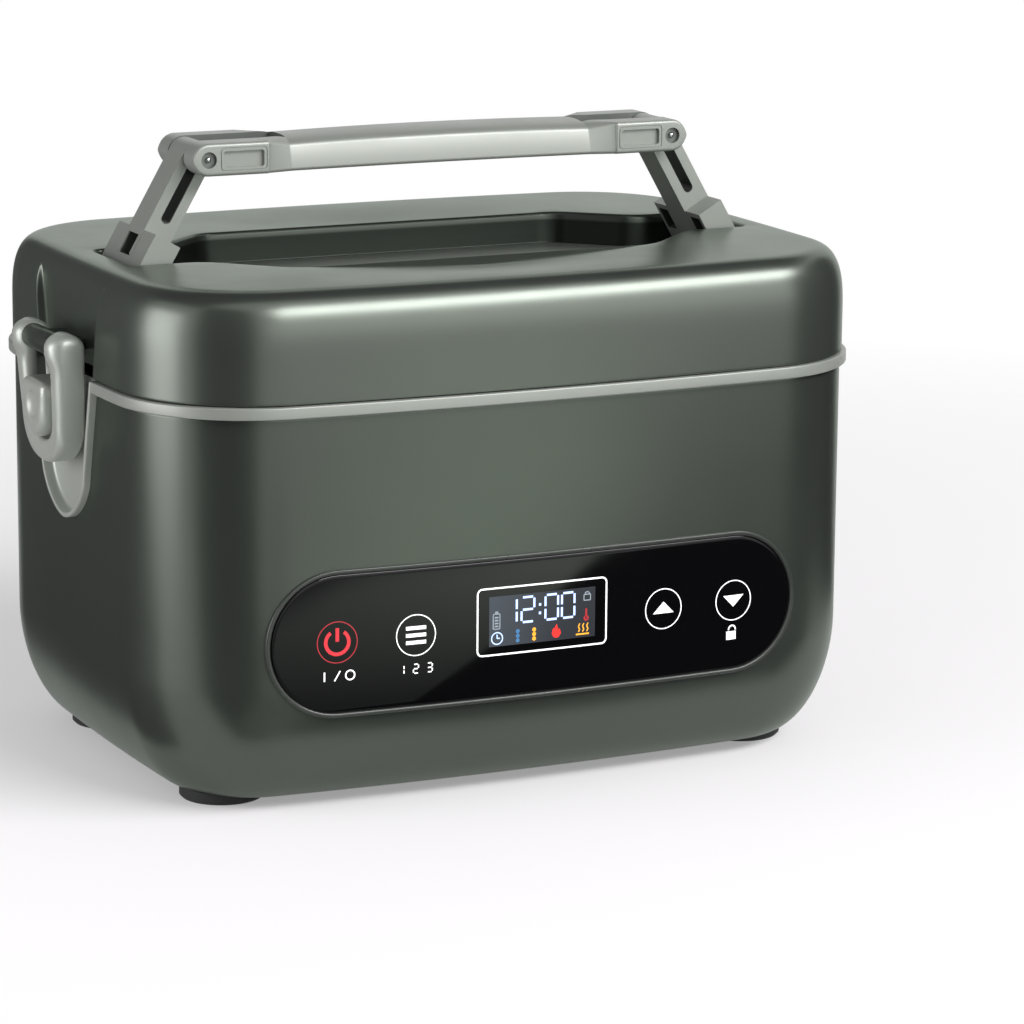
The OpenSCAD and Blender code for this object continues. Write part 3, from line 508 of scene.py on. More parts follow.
def lid_shell():
    flank = [POCKET_LOW_W + d for d in (-3, -2, -1.2, -0.8, -0.6, -0.4, -0.2, 0, 0.2, 0.4, 0.6, 0.8, 1.2, 2, 3)]
    side = [0, 6, 12, 16] + flank + [29, 32, 36, 40]
    columns = plan_columns([-y for y in side[1:]] + side, corner_n=32)
    profile = [(1.8, 128.2), (1.8, 125.7), (1.5, LID_BOTTOM), (-0.3, LID_BOTTOM), (LID_INSET + 0.08, 125.38),
               (LID_INSET, 125.6)] + [(LID_INSET, z) for z in steps(126, 137.4, 14)]
    profile += [(LID_INSET + e, LID_TOP - LID_EDGE_H + h)
                for e, h in superellipse(LID_EDGE_W, LID_EDGE_H, 2.76, 36)]
    b = Builder()
    ids = b.stack([press_pocket(plan_loop(columns, e, z), z) for e, z in profile])
    b.fill(ids[0], flip=True)
    # the recess: a round lip, a wall and a fillet at its foot
    recess = [recess_loop(RECESS_LIP - RECESS_LIP * sin(t), LID_TOP - RECESS_LIP * (1 - cos(t)))
              for t in steps(0, pi / 2, 6)]
    recess += [recess_loop(-d, z) for d, z in ((0.15, 154.5), (0.4, 152.0), (0.7, 149.6), (0.9, 148.0))]
    recess += [recess_loop(-0.9 - 0.7 * (1 - cos(t)), 148.0 - 0.7 * sin(t)) for t in steps(0.3, pi / 2, 4)]
    rim = b.stack(recess)
    grid = [(x, y, LID_TOP) for x in steps(-96, 96, 32) for y in steps(-72, 72, 24)]
    b.fill(ids[-1], [rim[0]], extra=grid)
    b.fill(rim[-1])
    for i, (x, y, z) in enumerate(b.verts):
        if z > LID_TOP - 1e-6 or i >= rim[0][0]:
            b.verts[i] = (x, y, z - rim_dip(x, y, z))
    return b.object("lid_shell_moulding", sharp_angle=27)


lid = lid_shell()
print("lid:", len(lid.data.polygons), "faces")


# %% Hand recess
# where the painted shade on the walls of the hand recess starts, where it is full, and how far it reaches
SHADE_FROM_Z, SHADE_FULL_Z, SHADE_HALF_X, SHADE_HALF_Y = 0.1556, 0.1548, 0.1048, 0.045  # metres


def recess_floor():
    """The floor has a finer, matter texture than the rest of the lid, and a lighter colour as painted light."""
    b = Builder()
    ids = b.stack([recess_loop(-1.4, RECESS_FLOOR), recess_loop(-1.4, RECESS_FLOOR + 0.25),
                   recess_loop(-1.6, RECESS_FLOOR + 0.35)])
    b.fill(ids[0], flip=True)
    b.fill(ids[-1])
    return b.object("hand_recess_floor")


def painted_lid_light_and_shade():
    """The lid's finish, painted lighter than the base's as painted light, and with painted shade: duller and
    darker on the walls of the hand recess.
    """
    # painted light: the lid gets the base's satin in a lighter colour, for the brighter light on the lid's
    # front
    material = satin("lid_finish_painted_light_and_shade", srgb(92, 98, 91))
    tree = material.node_tree
    apart = add_node(tree, "SeparateXYZ", {0: place(tree)})
    inside = mapped(tree, apart.outputs["Z"], 0.0, 1.0, SHADE_FROM_Z, SHADE_FULL_Z)
    for axis, edge in (("X", SHADE_HALF_X), ("Y", SHADE_HALF_Y)):
        size = maths(tree, "ABSOLUTE", apart.outputs[axis])
        inside = maths(tree, "MULTIPLY", mapped(tree, size, 1.0, 0.0, edge, edge + 0.0004), inside)
    # painted shade: the recess walls blend towards this dark colour
    return darkened(material, inside, srgb(48, 53, 48))


piece(lid, "lid", "shell_green", painted_lid_light_and_shade(), "lid_shell")
piece(recess_floor(), "lid", "shell_green", recess_matt_painted_light, "lid_shell")
print("hand recess finished")

# %% [markdown]
# ## Latch knuckles
# Each latch hangs from a knuckle that stands out of the pocket's floor on a short web, and the pin passes
# through it from side to side. Its outline doesn't change along the pin, so one outline is repeated across
# the width and only shrinks a little at both ends, which rounds the edges without a bevel.

# %% Latch knuckles
LATCH_X, LATCH_Z, KNUCKLE_R = 126.0, 133.8, 3.8


def knuckle(side):
    web, half_w = 1.6, 10.7  # half the web's thickness, half the knuckle's width
    start = pi - asin(web / KNUCKLE_R)
    ring = [(LATCH_X + KNUCKLE_R * cos(t), KNUCKLE_R * sin(t)) for t in steps(start, -start, 30)]
    outline = [(POCKET_X - 1, web)] + ring + [(POCKET_X - 1, -web)]
    loops = []
    for y, shrink in ((-half_w, 0.5), (-10.55, 0.15), (-10.2, 0), (10.2, 0), (10.55, 0.15), (half_w, 0.5)):
        k = 1 - shrink / KNUCKLE_R
        loops.append([(side * (LATCH_X + (x - LATCH_X) * (k if x > 120 else 1)), y, LATCH_Z + z * k)
                      for x, z in outline])
    b = Builder()
    b.cap(b.stack(loops), (0, 2))
    return b.object(sided("latch_knuckle", side))


for side in (-1, 1):
    piece(knuckle(side), "lid", "shell_green", shell_satin, "lid_shell")
print("latch knuckles made")

# %% [markdown]
# ## Rim band and latch shields
# The band is one light moulding between base and lid: a rounded strip outside, a ledge inside, and two shields
# that run down the short sides. Each shield is a raised rim around a hollow, which opens upwards so that the
# latch can reach its catch boss. A relief could be sculpted, but a small section that is carried along the
# shield's path keeps the rim equally wide all the way round.

# %% Rim band
def rim_band():
    edge = SHIELD_HALF_W - 1.5
    side = [0, 8, 16, 22, edge - 0.3, edge, edge + 0.02, edge + 0.3, 26, 30, 36, 40]
    columns = plan_columns([-y for y in side[1:]] + side)
    r, turn = 0.5, steps(0, pi / 2, 5)
    profile = [(-2 + r * (1 - cos(t)), SHELL_TOP + r * (1 - sin(t))) for t in steps(pi / 2, 0, 5)]
    profile += [(-2 + r * (1 - cos(t)), BAND_TOP - r * (1 - sin(t))) for t in turn]
    profile += [(8.7, BAND_TOP), (9, BAND_TOP - 0.3), (9, 123.3), (9.3, 123.02), (14, 123.02), (14, SHELL_TOP),
                (4.4, SHELL_TOP), (4.4, 117.4), (2.7, 117.4), (2.7, SHELL_TOP)]
    b = Builder()
    loops = [plan_loop(columns, e, z) for e, z in profile]
    for p in (p for loop in loops for p in loop):
        if abs(p.y) < edge + 0.01 and abs(p.x) > SHIELD_FLOOR_X:
            p.x = copysign(SHIELD_FLOOR_X + 0.02 * (abs(p.x) - SHIELD_FLOOR_X), p.x)
    ids = b.stack(loops)
    b.join(ids[-1], ids[0])
    return b.object("rim_band_strip")


def latch_shield(side):
    """The raised rim is a section carried along the shield's path. The hollow behind it is a plain plate."""
    rim = [(0, SHIELD_BACK_X), (0, 120.5), (0.1, 120.9), (0.35, 121.15), (0.7, SHIELD_FACE_X),
           (1.0, SHIELD_FACE_X), (1.35, 121.05), (1.55, 120.7), (1.75, 119.2), (1.95, 118.4), (2.3, 118.0),
           (3.0, SHIELD_FLOOR_X), (3.0, SHIELD_BACK_X)]
    paths = [shield_path(e) for e, _ in rim]
    last = len(paths[0]) - 1
    b = Builder()
    b.cap(b.stack([[(side * x, mirror * path[i][0], path[i][1]) for path, (_, x) in zip(paths, rim)]
                   for mirror, order in ((1, range(last + 1)), (-1, range(last - 1, -1, -1)))
                   for i in order]), (1, 0))
    half = shield_path(2.9)
    outline = half + [(-y, z) for y, z in half[-2::-1]]
    b.cap(b.stack([[(side * x, y, z) for y, z in outline] for x in (SHIELD_FLOOR_X, SHIELD_BACK_X)]), (1, 2))
    return b.object(sided("latch_shield", side))


band = piece(rim_band(), "base", "trim_grey", trim_satin, "rim_band")
for side in (-1, 1):
    # painted light: the shields are the band's moulding in the lighter trim colour
    piece(latch_shield(side), "base", "trim_grey", trim_painted_light, "rim_band")
print("band:", len(band.data.polygons), "faces")

# %% [markdown]
# ## Catch bosses
# The boss fills the window of the latch. It is round below and cut flat above, with soft edges and a small
# finger dimple. A sphere could be cut out of a block for it. Loops drawn around the dimple's centre are
# simpler: they start as the boss's own outline and end as circles, in one stack without a seam.

# %% Catch bosses
BOSS_HALF_W, BOSS_FACE_X, BOSS_BOTTOM, BOSS_TOP = 9.6, 130.6, 104.7, 122.2


def ray_to(polygon, centre, angle):
    """Distance from the centre to the polygon along an angle."""
    d = Vector((cos(angle), sin(angle)))
    best = 0.0
    for i, corner in enumerate(polygon):
        a, b = Vector(corner) - centre, Vector(polygon[(i + 1) % len(polygon)]) - centre
        e = b - a
        det = d.x * e.y - d.y * e.x
        if abs(det) > 1e-9:
            reach, part = (a.x * e.y - a.y * e.x) / det, (a.x * d.y - a.y * d.x) / det
            if reach > 0 and -1e-6 <= part <= 1 + 1e-6:
                best = max(best, reach)
    return best


def catch_boss(side):
    r, soft, deep = 10.4, 2.6, 2.2
    upper = [(BOSS_HALF_W, 119.2), (9.3, 120.9), (8.4, 121.9), (7.0, BOSS_TOP)]
    outline = [(9.1 * cos(t), BOSS_BOTTOM + r + r * sin(t)) for t in steps(-pi, 0, 40)]
    outline += upper + [(-y, z) for y, z in upper[::-1]]
    centre = Vector((0, 114.6))
    angles = steps(0, 2 * pi, 72)[:-1]
    reach = [ray_to(outline, centre, a) for a in angles]
    # the rim: (reach, height of the face) for each angle, then the dimple as rings of one radius
    rim = [(0, 117.2), (0, BOSS_FACE_X - deep)]
    rim += [(soft * (1 - cos(t)), BOSS_FACE_X - deep * (1 - sin(t))) for t in steps(0, pi / 2, 8)[1:]]
    rows = [([r - e for r in reach], x) for e, x in rim]
    rows += [([r] * len(angles), BOSS_FACE_X - depth) for r, depth in (
        (4.9, 0.0), (4.5, 0.1), (4.0, 0.4), (3.3, 0.8), (2.4, 1.1), (1.3, 1.28), (0.4, 1.32))]
    b = Builder()
    b.cap(b.stack([[(side * x, centre.x + r * cos(a), centre.y + r * sin(a)) for r, a in zip(radii, angles)]
                   for radii, x in rows]), (1, 2))
    return b.object(sided("catch_boss", side), sharp_angle=60)


for side in (-1, 1):
    # painted light: the bosses get the lighter trim colour
    piece(catch_boss(side), "base", "trim_grey", trim_painted_light, "rim_band")
print("catch bosses made")

# %% [markdown]
# ## Latches
# Each latch is a moulded bail: two thick round-edged arms that hang from the pin, joined by a thinner bar
# below. A curve with a bevel profile would keep one section. Here a section with rounded corners is carried
# along the bail, and its width, thickness and place change on the way, so arms, corners and bar are one
# surface.

# %% Bail outline
BAIL_HALF_W, BAIL_INNER_W, BAIL_LOW, BAR_TOP = 19.5, 11.2, 97.0, 103.8
BAIL_FRONT_X, BAIL_BACK_X, BAIL_LEAN, HOLLOW = 129.6, 120.0, 1.8, 4.4
EYE_R, EYE_BULGE, EYE_Z = 4.6, 1.5, 127.0
OUTER_TURN, INNER_TURN = (17.0, 110.0), (9.9, 113.0)


def bail_depth(z):
    """Front and back of the bail at a height: it bulges around the pin and leans in towards its foot."""
    lean = BAIL_LEAN * (LATCH_Z - z) / (LATCH_Z - BAR_TOP)
    bulge = EYE_BULGE * smoothstep((z - EYE_Z + 0.5) / 6)
    return BAIL_FRONT_X - lean + bulge, BAIL_BACK_X - 0.4 * lean


def eye_step(z):
    """How far the inner edge steps in beside the eye."""
    return 1.5 * smoothstep((z - EYE_Z) / 5)


def bail_stations():
    """Half of the bail, from the arm's top to the middle of the bar: (outer, inner, front x, back x)."""
    stations = []
    front, back = bail_depth(LATCH_Z)
    middle, half_x = (front + back) / 2, (front - back) / 2
    for t in steps(5, 90, 14):
        rise, reach = EYE_R * cos(radians(t)), sin(radians(t))
        shrink, z = 1 - sqrt(max(0.0, 1 - (rise / EYE_R) ** 2)), LATCH_Z + rise
        outer, inner = BAIL_HALF_W - 3.4 * shrink, BAIL_INNER_W - eye_step(z) + 2.6 * shrink
        stations.append(((outer, z), (inner, z), middle + half_x * reach, middle - half_x * reach))
    for k in steps(0, 1, 12)[1:]:
        outer, inner = ((w + (turn[0] - w) * k ** 1.5, LATCH_Z + (turn[1] - LATCH_Z) * k)
                        for w, turn in ((BAIL_HALF_W, OUTER_TURN), (BAIL_INNER_W, INNER_TURN)))
        inner = (inner[0] - eye_step(inner[1]), inner[1])
        stations.append((outer, inner, *bail_depth((outer[1] + inner[1]) / 2)))
    for t in steps(0, pi / 2, 14)[1:]:
        outer, inner = ((turn[0] * cos(t) ** power, turn[1] - (turn[1] - low) * sin(t) ** power)
                        for turn, low, power in ((OUTER_TURN, BAIL_LOW, 0.9), (INNER_TURN, BAR_TOP, 0.95)))
        front, back = bail_depth((outer[1] + inner[1]) / 2)
        stations.append((outer, inner, front, back + 1.6 * smoothstep(t / 1.4)))
    return stations


print("bail outline:", len(bail_stations()), "stations")


# %% Latches
def bail_section(outer, inner, front, back):
    """The bail's section at one station, as (x, (y, z)). Its back slopes and is hollow."""
    o, i = Vector(outer), Vector(inner)
    width, thick = (o - i).length, front - back
    hollow = HOLLOW * smoothstep((LATCH_Z + 2 - o.y) / 5)
    soft, tight = min(0.48 * width, (thick - hollow) * 0.6), min(1.6, (thick - hollow) * 0.3)
    section = []
    # around the section: the outer corner of the front, its inner corner, then the two at the back
    for near, far, r, du, dx in ((0, front, soft, 1, -1), (width, front, soft, -1, -1),
                                 (width, back + hollow, tight, -1, 1), (0, back, tight, 1, 1)):
        for t in steps(0, pi / 2, 6):
            a = t if du * dx < 0 else pi / 2 - t
            across = near + du * r * (1 - cos(a))
            section.append((far + dx * r * (1 - sin(a)), o + (i - o) * (across / width)))
    return section


for side in (-1, 1):
    half, b = bail_stations(), Builder()
    b.cap(b.stack([[(side * x, mirror * p.x, p.y) for x, p in bail_section(*station)]
                   for mirror, stations in ((1, half), (-1, half[-2::-1])) for station in stations]), (0, 1))
    bail = b.object(sided("latch_bail", side), sharp_angle=45)
    # painted light: the bail gets the lighter trim colour
    piece(bail, sided("latch", side), "trim_grey", trim_painted_light, sided("latch", side))
print("latches made")

# %% [markdown]
# ## Grip
# The grip is one moulding. Its ends are flat blocks that fork around the struts, with a framed panel beside
# each rivet. Between them the bar has faces that lean back, so that it fills the hand and catches the light.
# The outer form is lofted along the box's length, then the forks, frames and rivet seats are cut away.

# %% Grip bar
GRIP_PIN_X, GRIP_PIN_Z, GRIP_HALF_H, GRIP_HALF_D = 78.4, 187.64, 5.0, 15.0
BLOCK_X, FORK_X, FORK_HALF_W = 59.0, 50.3, 6.6


def grip_blend(x):
    """0 on the end blocks and 1 on the bar between them."""
    return min(1.0, max(0.0, (BLOCK_X - 0.4 - abs(x)) / 8.1))


def grip_section(x):
    """Half depth below, half depth above, low and high of the grip at a distance from its middle."""
    x = abs(x)
    low, high = GRIP_PIN_Z - GRIP_HALF_H, GRIP_PIN_Z + GRIP_HALF_H
    if x > GRIP_PIN_X:
        drop = GRIP_HALF_H - sqrt(max(0.0, GRIP_HALF_H ** 2 - (x - GRIP_PIN_X) ** 2))
        return GRIP_HALF_D, GRIP_HALF_D, low + drop, high - drop
    crown = max(0.0, 1 - (x / BLOCK_X) ** 2)
    half_d = GRIP_HALF_D - 0.6 * smoothstep((BLOCK_X - x) / 0.5)
    return half_d - 1.4 * grip_blend(x), half_d - 3.2 * grip_blend(x), low + 0.3 * crown, high + 0.9 * crown


def grip_loft():
    xs = [BLOCK_X * k for k in steps(0, 0.82, 14)]
    xs += [49.5, 50.2, 50.5, 50.8, 52.5, 54, 55.5, 57, 58.2, 58.6, 58.75, 58.9, 59.0, 59.3, GRIP_PIN_X]
    xs += [GRIP_PIN_X + GRIP_HALF_H * sin(t) for t in steps(0, radians(87), 12)[1:]]
    loops = []
    for x in [-x for x in xs[:0:-1]] + xs:
        low_y, high_y, low, high = grip_section(x)
        r, blend = min(1.1, (high - low) * 0.3), grip_blend(x)
        arch = (r + 8.5 * blend, r + 1.9 * blend)
        loops.append([
            (x, y - copysign(ry, y) + ry * cos(radians(t)),
             z + (rz if z == low else -rz) + rz * sin(radians(t)))
            for y, z, start, (ry, rz) in ((low_y, low, -90, (r, r)), (high_y, high, 0, arch),
                                          (-high_y, high, 90, arch), (-low_y, low, 180, (r, r)))
            for t in steps(start, start + 90, 8)])
    b = Builder()
    b.cap(b.stack(loops), (1, 2))
    return b.object("handle_grip_moulding", sharp_angle=30)


grip = grip_loft()
print("grip before carving:", len(grip.data.polygons), "faces")


# %% Forks, frames and rivet seats
def prism(b, outline, y0, y1, holes=()):
    """Adds a prism along Y with an outline of (x, z) points."""
    rings = [[b.loop([(x, y, z) for x, z in ring]) for ring in (outline, *holes)] for y in (y0, y1)]
    for low, high in zip(*rings):
        b.join(low, high)
    for ends in rings:
        b.fill(ends[0], ends[1:], axes=(0, 2))


def carve(obj, cutter):
    """Cuts one mesh out of another and keeps only the result."""
    modifier = obj.modifiers.new("carve", "BOOLEAN")
    modifier.operation, modifier.object, modifier.solver = "DIFFERENCE", cutter, "EXACT"
    bpy.context.view_layer.update()
    result = bpy.data.meshes.new_from_object(obj.evaluated_get(bpy.context.evaluated_depsgraph_get()))
    obj.modifiers.remove(modifier)
    obj.data = result
    bpy.data.objects.remove(cutter, do_unlink=True)


def carve_grip(obj):
    cuts = forks, frames, panels = Builder(), Builder(), Builder()
    for side in (-1, 1):
        a, c = sorted((side * FORK_X, side * 90))
        prism(forks, [(a, 170), (c, 170), (c, 205), (a, 205)], -FORK_HALF_W, FORK_HALF_W)
        middle = (side * (GRIP_PIN_X - 11.3), GRIP_PIN_Z)
        seat = [(side * GRIP_PIN_X + 2.5 * cos(t), GRIP_PIN_Z + 2.5 * sin(t))
                for t in steps(0, 2 * pi, 40)[:-1]]
        panel, outer, inner = (rectangle(w, h, r, 0.0, 6, middle) for w, h, r in (
            (6.6, 2.5, 0.8), (7.6, 3.6, 1.3), (7.25, 3.25, 1.1)))
        for face in (-1, 1):
            for b, outline, depth, holes in ((panels, panel, 1.3, ()), (frames, seat, 1.3, ()),
                                             (frames, outer, 0.25, [inner])):
                prism(b, outline, *sorted((face * (GRIP_HALF_D - depth), face * (GRIP_HALF_D + 1))), holes)
    for cut, name in zip(cuts, ("forks", "frames", "panels")):
        carve(obj, cut.object(name))
    obj.data.set_sharp_from_angle(angle=radians(32))
    soften(obj, 0.25, 2, 50)


carve_grip(grip)
print("grip after carving:", len(grip.data.polygons), "faces")


# %% Grip finish
def painted_crevice_shade(name, dark, boxes):
    """The trim's finish with painted shade, darkened inside boxes: lists of (direction, centre, reach) in
    millimetres.
    """
    material = trim_satin.copy()
    material.name = name
    tree = material.node_tree
    size = add_node(tree, "VectorMath", {0: place(tree)}, operation="ABSOLUTE").outputs[0]
    total = None
    for box in boxes:
        inside = None
        for direction, centre, reach in box:
            test = maths(tree, "COMPARE", measured(tree, size, direction), centre * MM, reach * MM)
            inside = maths(tree, "MULTIPLY", inside, test) if inside else test
        total = maths(tree, "MAXIMUM", total, inside) if total else inside
    return darkened(material, total, dark)


# painted shade in the fork gaps of the grip and in the rivet seats, which shows as a dark ring round each rivet
painted_fork_shade = painted_crevice_shade("grip_trim_painted_shade", srgb(104, 109, 104), [
    [((0, 1, 0), 0, 6.65), ((1, 0, 0), 70, 19.75)],
    [((1, 0, 0), GRIP_PIN_X, 2.6), ((0, 0, 1), GRIP_PIN_Z, 2.6), ((0, 1, 0), 13, 1.4)]])
piece(grip, "grip", "trim_grey", painted_fork_shade, "handle_grip")
print("grip finished")

# %% [markdown]
# ## Rivets and struts
# A hollow rivet holds each end of the grip on its strut: a bright domed middle in a seat whose painted shade
# makes a dark ring round it. The struts keep their CAD meshes with a small bevel, because their flat faces and
# slots are already right, and their slots and pockets get painted shade.

# %% Rivets and struts
def rivets():
    b = Builder()
    profile = [(0.1, 14.6), (0.4, 14.55), (0.7, 14.38), (0.9, 14.1), (1.0, 13.7), (1.0, 13.5), (1.45, 13.5),
               (1.5, 13.45), (1.5, 6.8)]
    for side in (-1, 1):
        for face in (-1, 1):
            ids = b.stack([[(side * GRIP_PIN_X + r * cos(t), face * y, GRIP_PIN_Z + r * sin(t))
                            for t in steps(0, 2 * pi, 32)[:-1]] for r, y in profile])
            b.cap(ids, (0, 2))
    return b.object("grip_rivets")


rivet_steel, tree = new_material("rivet_steel", srgb(190, 191, 189), 0.2, metallic=1.0)
feed(tree, "Normal", bump(tree, noise(tree, 1800, 3), 0.1, 0.01))
piece(rivets(), "grip", "steel", rivet_steel, "grip_pins")

# painted shade in the strut's hollows, in boxes across a strut, along it from its pivot, and front to back: the
# slot, the window outside, the pockets inside
ACROSS, ALONG, DEPTH = (-0.866, 0, -0.5), (-0.5, 0, 0.866), (0, 1, 0)
painted_strut_shade = painted_crevice_shade("strut_trim_painted_shade", srgb(66, 71, 66), [
    [(ACROSS, -161.7, 1.8), (ALONG, 111.3, 11.5), (DEPTH, 0, 5.6)],
    [(ACROSS, -164.3, 1.7), (ALONG, 90.8, 3.7), (DEPTH, 0, 4.1)],
    [(ACROSS, -159.6, 2.3), (ALONG, 90.55, 3.9), (DEPTH, 10.75, 3.1)]])
STRUTS = ("handle_strut_left", "handle_strut_right")
refinish(painted_strut_shade, *STRUTS)
for name in STRUTS:
    soften(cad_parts[name], 0.6, 3, 30).harden_normals = True
print("handle done")

# %% [markdown]
# ## Metal, rubber and inner parts
# Pins and screws are turned steel, with fine rings around their axis. The food container is deep-drawn
# stainless steel, brushed along its length. The heating well has a speckled non-stick coating. All of them
# keep their CAD meshes, because their shapes are plain: a table of finishes is all that they need.

# %% Small finishes
def brushed(name, colour, roughness, stretch):
    """Bare metal whose fine streaks run along one axis."""
    material, tree = new_material(name, colour, roughness, metallic=1.0)
    streaks = noise(tree, 1600, 3, stretch)
    feed(tree, "Roughness", mapped(tree, streaks, roughness - 0.03, roughness + 0.05))
    feed(tree, "Normal", bump(tree, streaks, 0.04, 0.004))
    return material


for name, colour, roughness, stretch, nodes in (
        ("pin_steel", (205, 205, 202), 0.24, (1, 0.06, 1),
         "latch_pin_left latch_pin_right pivot_pin_left pivot_pin_right cover_screws board_screws lid_screws "
         "battery_tabs inlet_contact"),
        ("tray_steel", (198, 198, 195), 0.28, (0.05, 1, 1), "food_container"),
        ("plate_metal", (190, 191, 193), 0.35, (0.05, 1, 1), "heating_plate"),
        ("copper_track", (196, 120, 80), 0.4, (0.1, 1, 1), "heater_element")):
    refinish(brushed(name, srgb(*colour), roughness, stretch), *nodes.split())

for name, colour, roughness, surface, nodes in (
        ("foot_rubber", (22, 25, 23), 0.7, dict(depth=0.03, grain=1400), "rubber_feet"),
        ("dark_plastic", (30, 32, 31), 0.5, {}, "dc_inlet display_module battery_holder"),
        ("liner_plastic", (196, 199, 193), 0.42, dict(spread=0.02), "lid_inner_panel"),
        ("seal_silicone", (222, 224, 219), 0.55, dict(spread=0.02), "lid_seal"),
        ("well_coating", (44, 46, 45), 0.45, dict(spread=0.35, grain=1600, depth=0.02), "heating_well"),
        ("felt_pad", (214, 206, 186), 0.95, dict(spread=0.12, grain=900, depth=0.3),
         "insulation_pad lid_insulation"),
        ("board_mask", (24, 96, 58), 0.35, dict(spread=0.08), "control_board power_board"),
        ("cell_wrap", (38, 86, 150), 0.3, dict(spread=0.03), "battery_cells"),
        ("wire_red", (170, 30, 26), 0.45, {}, "internal_wires"),
        ("ceramic", (208, 206, 198), 0.5, {}, "thermal_fuse temperature_sensor"),
        ("gasket_foam", (64, 65, 66), 0.9, dict(grain=1100, depth=0.1), "touch_pads")):
    refinish(moulded(name, srgb(*colour), roughness, **surface), *nodes.split())
print("small parts finished")

# %% [markdown]
# ## Front panel
# The panel is a glossy black lens that follows the bow of the front, in a thin ring. Both could be flat
# shapes bent by a modifier, but every point can be set on the bow directly. The lens is almost a mirror, so
# its face is made of upright strips without a ripple, with only a faint dust in its roughness.

# %% Panel lens and ring
PANEL_X, PANEL_Z, PANEL_W, PANEL_H, BEZEL_W = -1.3, 53.2, 175.8, 44.6, 1.4
CAP_N, EDGE_N = 28, 24
lens_gloss, tree = new_material("glass_black", srgb(8, 8, 9), 0.05, specular=0.25)
feed(tree, "Roughness", mapped(tree, noise(tree, 40, 5), 0.03, 0.09))
ring_gloss = moulded("ring_gloss", srgb(58, 62, 58), 0.3, metallic=0.3)


def stadium(half_w, half_h):
    """Stadium outline around the panel's centre as (x, z): right end, top edge, left end, bottom edge."""
    run, points = half_w - half_h, []
    for side in (1, -1):
        points += [(side * run + half_h * cos(t), half_h * sin(t))
                   for t in steps(-side * pi / 2, (1 - side / 2) * pi, CAP_N)]
        points += [(x, side * half_h) for x in steps(side * run, -side * run, EDGE_N)[1:-1]]
    return points


def on_front(x, z, lift):
    """A point of the front panel, lifted off the base's wall."""
    return (PANEL_X + x, front_y(PANEL_X + x, -lift), PANEL_Z + z)


def panel_stack(name, rows, fill_middle):
    b = Builder()
    ids = b.stack([[on_front(x, z, lift) for x, z in stadium(PANEL_W / 2 - e, PANEL_H / 2 - e)]
                   for e, lift in rows])
    if fill_middle:
        # strips join the upper points to the lower ones, so that the face follows the bow
        edge, start = ids[-1], CAP_N // 2
        half, around = len(edge) // 2, edge[start:] + edge[:start]
        upper, lower = around[:half + 1], [around[0]] + around[:half - 1:-1]
        for i in range(half):
            b.faces.append(tuple(dict.fromkeys((upper[i], upper[i + 1], lower[i + 1], lower[i]))))
    else:
        b.join(ids[-1], ids[0])
    return b.object(name, sharp_angle=50)


lens = panel_stack("panel_lens", [(BEZEL_W + 0.1, -1.0), (BEZEL_W + 0.1, 0.1), (BEZEL_W + 0.25, 0.25),
                                  (BEZEL_W + 0.6, 0.38), (BEZEL_W + 1.4, 0.4)], True)
piece(lens, "base", "panel_black", lens_gloss, "control_panel")
ring = panel_stack("panel_ring", [(0, -1.0), (0, 0.35), (0.12, 0.62), (0.35, 0.75), (0.9, 0.75), (1.2, 0.6),
                                  (BEZEL_W, 0.3), (BEZEL_W, -1.0)], False)
piece(ring, "base", "bezel_grey", ring_gloss, "panel_bezel")
print("panel made")

# %% [markdown]
# ## Symbols
# The keys and the clock are printed and lit behind the glass. They could be drawn with a texture, but a
# texture blurs close up. Each symbol is a thin raised shape that follows the bow, with a softly glowing
# finish. The words of a real panel are left off: numbers, bars and triangles stand in their places.

# %% Inks
INK_LIFT, INK_BACK = 0.46, 0.3


def ink(name, glow, colour):
    """Printed ink that glows softly, as if lit from behind."""
    material, tree = new_material(name, colour, 0.3)
    feed(tree, "Base Color", tint(tree, noise(tree, 300, 2), tuple(c * 0.94 for c in colour), colour))
    shader = tree.nodes["Principled BSDF"].inputs
    shader["Emission Color"].default_value, shader["Emission Strength"].default_value = (*colour, 1), glow
    return material


INKS = {name: ink(name, glow, srgb(*colour)) for name, glow, colour in (
    ("ink_white", 0.75, (238, 238, 238)), ("ink_red", 0.62, (190, 40, 50)),
    ("ink_blue", 0.8, (178, 204, 250)), ("ink_dim", 0.6, (128, 138, 146)),
    ("ink_deep_blue", 0.7, (58, 108, 150)), ("ink_dull_red", 0.6, (150, 34, 42)),
    ("ink_amber", 0.8, (236, 160, 40)), ("ink_flame", 0.8, (230, 36, 30)),
    ("screen_painted_sheen", 0.35, (34, 38, 44)))}
print("inks:", len(INKS))


# %% Symbol shapes
SEGMENTS = {"a": (0, 1, 1, 1), "b": (1, 1, 1, 0.5), "c": (1, 0.5, 1, 0), "d": (0, 0, 1, 0),
            "e": (0, 0, 0, 0.5), "f": (0, 0.5, 0, 1), "g": (0, 0.5, 1, 0.5)}
DIGITS = {"0": "abcdef", "1": "bc", "2": "abged", "3": "abgcd"}


